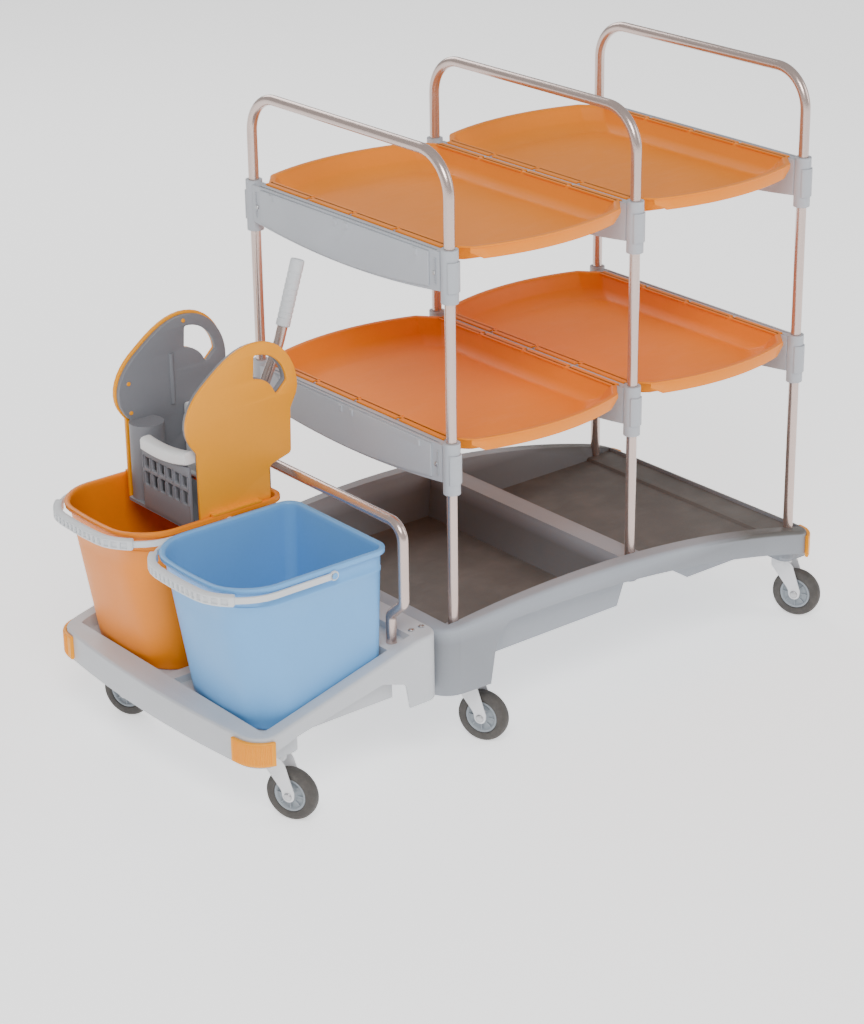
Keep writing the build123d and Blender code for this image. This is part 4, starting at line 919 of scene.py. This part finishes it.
class CART_OT_buckets(bpy.types.Operator):
    """Two buckets with rolled rims and moulded feet, and their swinging bails with slotted grips"""

    bl_idname = "cart.buckets"
    bl_label = "Buckets and bails"

    base, top = 172.3, 466.3

    def plan(self, y, x0, x1, half, front, rear, bow=14.0):
        """Plan of a bucket: bowed front, rounded corners."""
        spots = [(x0 + bow, y + half * k / 8) for k in range(3, -4, -1)]
        corners = [(x0 + bow, y + half)] + spots + [(x0 + bow, y - half), (x1, y - half), (x1, y + half)]
        radii = [front] + [0] * len(spots) + [front, rear, rear]
        outline = rounded(corners, radii, 8)
        bent = []
        for point in outline:
            ahead = min(1.0, max(0.0, (x0 + bow + 60.0 - point.x) / 60.0))
            bent.append((point.x - bow * (1 - ((point.y - y) / half) ** 2) * ahead, point.y))
        return bent

    def ring(self, y, z, out):
        """Outline of the tapering body at a height, grown outwards."""
        t = (z - self.base) / (self.top - self.base)
        x0 = -494.0 + 60.0 + (8.0 - 60.0) * t - out
        x1 = -151.0 - 17.0 + 9.0 * t + out
        half = 135.0 + 6.0 * t + out
        return [(a, b, z) for a, b in self.plan(y, x0, x1, half, 62.0 + 12.0 * t + out, 22.0 + 2.0 * t + out)]

    def execute(self, context):
        for name, y in BUCKETS.items():
            top, base = self.top, self.base
            shell = Shell()
            outside = [(base, -9.0), (base, -6.0), (base + 0.9, -2.6), (base + 3.0, -0.8), (base + 7.0, 0.0),
                       (base + 60.0, 0.0), (base + 130.0, 0.0), (base + 210.0, 0.0), (top - 46.0, 0.0),
                       (top - 44.6, 1.2), (top - 39.4, 1.2), (top - 38.0, 0.0), (top - 14.0, 0.0),
                       (top - 6.0, 0.0), (top - 3.8, 0.8), (top - 3.2, 2.6), (top - 3.4, 4.8),
                       (top - 9.2, 5.2), (top - 10.0, 6.0), (top - 10.0, 7.2), (top - 9.2, 8.0),
                       (top - 3.0, 8.0), (top - 1.0, 7.2), (top - 0.1, 5.2), (top, 2.4), (top - 0.3, 0.0),
                       (top - 1.6, -2.0), (top - 4.0, -2.9), (top - 12.0, -3.0), (top - 60.0, -3.0),
                       (top - 140.0, -3.0), (base + 70.0, -3.0), (base + 12.0, -3.0), (base + 6.4, -4.4),
                       (base + 3.8, -7.4), (base + 3.2, -11.0)]
            shell.loft([self.ring(y, z, out) for z, out in outside])
            for side in (-1, 1):
                pin = (-283.0, y + side * 149.0, 450.3)
                out = (0, side, 0)
                shell.turned([(0.4, -9.0), (12.0, -9.0), (11.0, -1.0), (10.0, 0.0), (4.0, 0.0), (4.0, 6.0),
                              (5.6, 6.0), (6.0, 6.4), (5.4, 7.1), (0.4, 7.2)], pin, out, 28)
            slot = "blue_plastic" if name == "blue" else "orange_plastic"
            piece(f"bucket_{name}_moulding", shell, slot, f"bucket_{name}", (f"bucket_{name}",), smooth=42.0)
            self.bail(name, y)
        return {"FINISHED"}

    def bail(self, name, y):
        """Swinging strip bail and its slotted grip."""
        line = self.plan(y, -494.0 - 16.5, -283.0, 152.0, 89.5, 0.0)
        line = line[:-2]
        side = 152.0
        line = [(-283.0, y + side)] + line + [(-283.0, y - side)]
        points = [Vector(p) for p in line]
        normals = []
        for i in range(len(points)):
            ahead = (points[min(i + 1, len(points) - 1)] - points[max(i - 1, 0)]).normalized()
            normals.append(Vector((ahead.y, -ahead.x)))
        section = [(-2.5, -5.2), (-1.7, -6.0), (1.7, -6.0), (2.5, -5.2), (2.5, 5.2), (1.7, 6.0), (-1.7, 6.0),
                   (-2.5, 5.2)]
        z = 450.3
        strip = Shell()
        strip.loft([[(p.x + n.x * u, p.y + n.y * u, z + w) for u, w in section]
                    for p, n in zip(points, normals)])
        for side in (-1, 1):
            strip.turned([(4.1, -2.5), (8.4, -2.5), (9.0, -1.9), (9.0, 1.9), (8.4, 2.5), (4.1, 2.5)],
                         (-283.0, y + side * 152.0, z), (0, 1, 0), 32)
        piece(f"bail_{name}_strip", strip, "bail_grey", f"bail_{name}", (f"bail_{name}",), smooth=40.0)
        front = self.plan(y, -494.0 - 16.5, -283.0, 152.0, 89.5, 0.0)
        reach = 124.0
        slots = sizes().grip_slots
        rows = []
        samples = [Vector(p) for p in front if abs(p[1] - y) < 150 and p[0] < -380]
        samples.sort(key=lambda p: p.y)

        def spot(v):
            """Point and outward direction of the grip's middle line at a sideways place."""
            for a, b in zip(samples, samples[1:]):
                if a.y <= v <= b.y:
                    t = (v - a.y) / (b.y - a.y)
                    way = (b - a).normalized()
                    return a.lerp(b, t), Vector((-way.y, way.x))
            return samples[0], Vector((-1, 0))

        def around(v, depth, shrink=0.0):
            """Section of the grip at a sideways place, with a pocket of some depth in its outer face."""
            p, n = spot(y + v)
            if n.x > 0:
                n = -n
            outer, inner, high = 8.0 - shrink, -8.0 + shrink, 10.0 - shrink
            lip = 6.0 - shrink * 0.5
            path = [(inner, -high + 2.5), (inner + 1.0, -high + 0.7), (inner + 3.0, -high),
                    (outer - 3.5, -high), (outer - 1.0, -high + 1.0), (outer, -high + 3.0), (outer, -lip),
                    (outer - depth, -lip + 0.8), (outer - depth, lip - 0.8), (outer, lip),
                    (outer, high - 3.0), (outer - 1.0, high - 1.0), (outer - 3.5, high), (inner + 3.0, high),
                    (inner + 1.0, high - 0.7), (inner, high - 2.5)]
            return [(p.x + n.x * u, p.y + n.y * u, z + w) for u, w in path]

        rows += [around(-reach, 0.0, 2.4), around(-reach + 0.8, 0.0, 0.9), around(-reach + 2.4, 0.0)]
        pitch = (2 * reach - 10.0) / slots
        for k in range(slots):
            start = -reach + 5.0 + k * pitch
            rib = pitch * 0.34
            rows += [around(start + rib / 2, 0.0), around(start + rib / 2 + 0.7, 3.6),
                     around(start + pitch - rib / 2 - 0.7, 3.6), around(start + pitch - rib / 2, 0.0)]
        rows += [around(reach - 2.4, 0.0), around(reach - 0.8, 0.0, 0.9), around(reach, 0.0, 2.4)]
        piece(f"bail_{name}_grip", Shell().loft(rows), "bail_grey", f"bail_{name}", (f"bail_grip_{name}",),
              smooth=35.0)


class CART_OT_wringer(bpy.types.Operator):
    """Mop wringer: side covers and liners, slotted basket, saddle, press plate, pin heads and spring"""

    bl_idname = "cart.wringer"
    bl_label = "Mop wringer"

    def side_outline(self, inset=0.0):
        """Outline of a side plate in X and Z."""
        front = bezier_points([(-336, 590), (-340.5, 598), (-357, 612), (-358, 640), (-359, 672), (-336, 702),
                               (-308, 722), (-278, 746), (-244, 771), (-205, 772), (-172, 772), (-150, 760),
                               (-134, 741), (-117, 720), (-108, 696), (-109, 668)], 7)
        base = [(-336 + inset, 432.5), (-336 + inset, 590)]
        tail = [(-112, 655), (-126, 628), (-128, 541), (-178, 527), (-178, 432.5)]
        corners = base + front[1:] + tail
        radii = [4, 0] + [0] * (len(front) - 1) + [6, 12, 9, 12, 4]
        outline = rounded(corners, radii, 4)
        middle = Vector((-225, 600))
        return [middle + (Vector(p) - middle) * (1 - inset / 110.0) for p in outline]

    def hand_hole(self, grow=0.0):
        """The D-shaped hand hole of a side plate."""
        inner = arc_points((-158, 660), (-178, 692), (-207, 702), 8)
        outer = arc_points((-204, 747), (-158, 732), (-133, 684), 10)
        corners = [tuple(p) for p in inner + outer]
        outline = rounded(corners, [0 if i not in (0, 8, 9, 19) else 5 for i in range(len(corners))], 4)
        middle = Vector((-172, 708))
        return [middle + (Vector(p) - middle) * (1 + grow / 34.0) for p in outline]

    def execute(self, context):
        y0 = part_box("near_cover")[1].y * 1000 - 8.0
        near_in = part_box("near_liner")[1].y * 1000
        far_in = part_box("basket")[1].y * 1000
        cover_far = far_in + 10.0
        middle = (near_in + far_in) / 2
        outline, hole = self.side_outline(), self.hand_hole()
        thin, wide = self.side_outline(3.0), self.hand_hole(-1.5)
        shaft_hole = [(-184 + 10.2 * math.cos(t), 560 + 10.2 * math.sin(t))
                      for t in (2 * math.pi * k / 28 for k in range(28))]
        for name, low, thickness, rim, cut in (
                ("near_cover", y0, 8.0, outline, hole), ("near_liner", y0 + 8.0, 10.0, thin, wide),
                ("far_liner", far_in, 10.0, thin, wide), ("far_cover", cover_far, 8.0, outline, hole)):
            shell = Shell()
            holes = [cut] + ([shaft_hole] if name.endswith("liner") else [])
            edge = 2.4 if name.endswith("cover") else 1.6
            shell.take(slab([rim] + holes, thickness, edge, facing_side(0, low + thickness / 2, 0)))
            if name == "near_cover":
                shell.block((-316, y0 - 12.0, 466.7), (-208, y0 + 2.0, 470.4))
            if name == "far_cover":
                shell.block((-316, cover_far + 6.0, 466.7), (-208, 301.0, 470.4))
            if name == "far_liner":
                plan = arc_points((-336, far_in + 1), (-310, far_in - 52), (-284, far_in + 1), 20)
                shell.loft([[(p.x, p.y, z) for p in plan] for z in (432.5, 586.0, 589.0)])
                half = [(-236 + 5 * math.cos(t), far_in - 5 * math.sin(t)) for t in
                        (math.pi * k / 10 for k in range(11))]
                shell.loft([[(a, b + 0.5, z) for a, b in half] for z in (600.0, 700.0)])
            slot = "bumper_orange" if name.endswith("cover") else "liner_grey"
            piece(f"{name}_moulding", shell, slot, "wringer", (name,), smooth=38.0)
        self.basket(near_in, far_in, middle)
        return {"FINISHED"}

    def basket(self, near_in, far_in, middle):
        """Slotted front wall, sloping floor, saddle, press plate and pins."""
        post = far_in - 52.0
        front = Shell()
        rim = [(near_in, 434), (post, 434), (post, 556), (near_in + 60, 553), (near_in, 562)]
        holes = []
        for z, height in ((530.0, 21.0), (498.0, 26.0)):
            for k in range(6):
                y = near_in + 76.0 + (k - 2.5) * 24.5
                box = [(y - 8.5, z - height / 2), (y - 8.5, z + height / 2), (y + 8.5, z + height / 2),
                       (y + 8.5, z - height / 2)]
                holes.append(rounded(box, [2.5] * 4, 4))
        front.take(slab([rim] + holes, 6.0, 1.2, facing_end(-342, 0, 0)))
        fin = Shell(loose).loft([[(a, b, z) for a, b in ((-1.6, -2.6), (1.6, -2.6), (1.1, 2.2), (-1.1, 2.2))]
                                 for z in (-12.0, -10.5, 10.5, 12.0)])
        for z in (530.0, 498.0):
            line = [(-345.6, near_in + 76.0 + u, z) for u in (-73.5, 73.5)]
            front.take(Repeat().along(line, fin, sizes().basket_fins, "liner_grey"))
        floor = [(-345, 434), (-345, 440), (-226, 456), (-226, 451)]
        front.loft([[(x, y, z) for x, z in floor] for y in (near_in, far_in)])
        piece("basket_moulding", front, "liner_grey", "wringer", ("basket",), smooth=38.0)

        saddle = Shell()
        low = arc_points((near_in, 568), (middle, 553), (far_in, 568), 24)
        high = arc_points((near_in, 592), (middle, 577), (far_in, 592), 24)
        keep = [i for i, p in enumerate(low) if p.x <= post - 1.0]
        section = []
        for i in keep:
            y, z0, z1 = low[i].x, low[i].y, high[i].y
            section.append([(-352, y, z0 + 2), (-350, y, z0), (-328, y, z0), (-326, y, z0 + 2),
                            (-326, y, z1 - 5), (-329, y, z1 - 1.4), (-334, y, z1), (-344, y, z1),
                            (-349, y, z1 - 1.4), (-352, y, z1 - 5)])
        saddle.loft(section)
        piece("saddle_moulding", saddle, "white_plastic", "wringer", ("saddle",), smooth=40.0)

        jaw = Shell()
        rim = rounded([(near_in + 1.6, 458), (far_in - 1.6, 458), (far_in - 1.6, 599.5),
                       (near_in + 1.6, 599.5)],
                      [3, 3, 9, 9], 5)
        holes = []
        rows = sizes().press_rows
        for r in range(rows):
            for k in range(7):
                y, z = middle + (k - 3) * 25.0, 535.0 + (r - (rows - 1) / 2) * 34.0
                box = [(y - 6, z - 12), (y - 6, z + 12), (y + 6, z + 12), (y + 6, z - 12)]
                holes.append(rounded(box, [5.0] * 4, 4))
        jaw.take(slab([rim] + holes, 8.0, 1.6, facing_end(-210, 0, 0)))
        jaw.turned([(0.3, near_in + 1.6), (6.4, near_in + 1.6), (7.0, near_in + 2.2), (7.0, far_in - 2.2),
                    (6.4, far_in - 1.6), (0.3, far_in - 1.6)], (-210, 0, 458.3), (0, 1, 0), 24)
        jaw.turned([(0.3, near_in - 9.0), (4.0, near_in - 9.0), (4.0, far_in + 9.0), (0.3, far_in + 9.0)],
                   (-210, 0, 458.3), (0, 1, 0), 20)
        piece("press_plate", jaw, "white_plastic", "jaw", ("press_jaw",), smooth=38.0)

        pins = Shell()
        for x, z in ((-205.0, 757.0), (-332.0, 662.0), (-330.0, 604.0)):
            for y, way in ((near_in, -1), (far_in, 1)):
                pins.turned([(0.3, way * 4.9), (4.0, way * 4.9), (4.0, -way * 0.6), (3.2, -way * 1.8),
                             (0.3, -way * 2.0)],
                            (x, y, z), (0, 1, 0), 20)
        piece("wringer_pin_heads", pins, "bumper_orange", "wringer", ("wringer_pins",), smooth=40.0)

        coil = [Vector((-184 + 13 * math.cos(t), near_in + 0.8 + 14.4 * t / (12 * math.pi),
                        560 + 13 * math.sin(t)))
                for t in (2 * math.pi * k / 24 for k in range(24 * 6 + 1))]
        piece("return_coil", Shell().pipe(coil, 0.8, 8), "zinc_steel", "wringer", ("return_spring",),
              smooth=60.0)


class CART_OT_lever(bpy.types.Operator):
    """Down-press lever: cam shaft, bent tube and ribbed grip"""

    bl_idname = "cart.lever"
    bl_label = "Wringer lever"

    def execute(self, context):
        near_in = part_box("near_liner")[1].y * 1000
        far_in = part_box("basket")[1].y * 1000
        y = near_in + 52.0
        centre = Vector((-184, y, 560))
        along = Vector((81, 0, 160)).normalized()
        shaft = Shell()
        shaft.turned([(0.3, near_in - 9.5), (9.4, near_in - 9.5), (10.0, near_in - 8.9), (10.0, far_in + 8.9),
                      (9.4, far_in + 9.5), (0.3, far_in + 9.5)], (-184, 0, 560), (0, 1, 0), 32)
        for start in (near_in + 22.0, far_in - 30.0):
            base = [(-184 + 15 * math.cos(t), 560 + 15 * math.sin(t)) for t in
                    (math.radians(a) for a in range(160, 381, 10))]
            tip = [(-178 + 11 * math.cos(t), 579 + 11 * math.sin(t)) for t in
                   (math.radians(a) for a in range(20, 161, 10))]
            shaft.take(slab([base + tip], 8.0, 1.2, facing_side(0, start + 4.0, 0)))
        shaft.turned([(0.3, -13.0), (15.6, -13.0), (17.0, -11.6), (17.0, 11.6), (15.6, 13.0), (0.3, 13.0)],
                     centre, (0, 1, 0), 36)
        shaft.turned([(0.3, 0.0), (14.0, 0.0), (14.0, 40.0), (13.2, 43.2), (12.0, 44.0), (10.2, 44.0),
                      (10.2, 30.0), (0.3, 30.0)], centre, along, 32)
        piece("lever_cams", shaft, "white_plastic", "lever", ("lever_shaft",), smooth=38.0)
        start, bend, end = centre + along * 24.0, centre + along * 190.0, Vector((-49, y, 878))
        piece("lever_tube", Shell().pipe(route([start, bend, end], (120.0,), 14), 10.0, 28), "satin_tube",
              "lever", ("lever_rod",))
        way = (end - bend).normalized()
        grip = Shell()
        profile = [(10.1, 0.0), (12.4, 0.0), (13.5, 1.2)]
        for k in range(9):
            base = 12.0 + k * 11.0
            profile += [(13.5, base), (12.7, base + 0.8), (12.7, base + 3.2), (13.5, base + 4.0)]
        profile += [(13.5, 121.0), (13.2, 124.5), (11.6, 126.6), (8.0, 127.0), (0.3, 127.0), (0.3, 124.2),
                    (10.1, 124.0)]
        grip.turned(profile, end - way * 124.0, way, 36)
        piece("lever_hand_grip", grip, "bail_grey", "lever", ("lever_grip",), smooth=40.0)
        return {"FINISHED"}


class CART_PT_panel(bpy.types.Panel):
    """The cart's sizes, colours and pieces"""

    bl_idname = "CART_PT_panel"
    bl_label = "Housekeeping cart"
    bl_space_type = "VIEW_3D"
    bl_region_type = "UI"
    bl_category = "Cart"

    def draw(self, context):
        for group in (context.scene.cart_sizes, context.scene.cart_colours):
            for name in group.bl_rna.properties.keys():
                if name not in ("rna_type", "name"):
                    self.layout.prop(group, name)
        for operator in OPERATORS:
            self.layout.operator(operator.bl_idname)


OPERATORS = (CART_OT_stage, CART_OT_tubes, CART_OT_trays, CART_OT_casters, CART_OT_buckets, CART_OT_wringer,
             CART_OT_lever, CART_OT_details, CART_OT_plain)
CLASSES = (CartSizes, CartColours, *OPERATORS, CART_PT_panel)


def register():
    """Adds the classes and the scene's settings."""
    for cls in CLASSES:
        bpy.utils.register_class(cls)
    bpy.types.Scene.cart_sizes = PointerProperty(type=CartSizes)
    bpy.types.Scene.cart_colours = PointerProperty(type=CartColours)


def unregister():
    """Removes the classes and the scene's settings."""
    del bpy.types.Scene.cart_sizes
    del bpy.types.Scene.cart_colours
    for cls in reversed(CLASSES):
        bpy.utils.unregister_class(cls)


def main():
    """Builds the whole cart."""
    register()
    for operator in OPERATORS:
        group, name = operator.bl_idname.split(".")
        getattr(getattr(bpy.ops, group), name)()


if __name__ == "__main__":
    main()
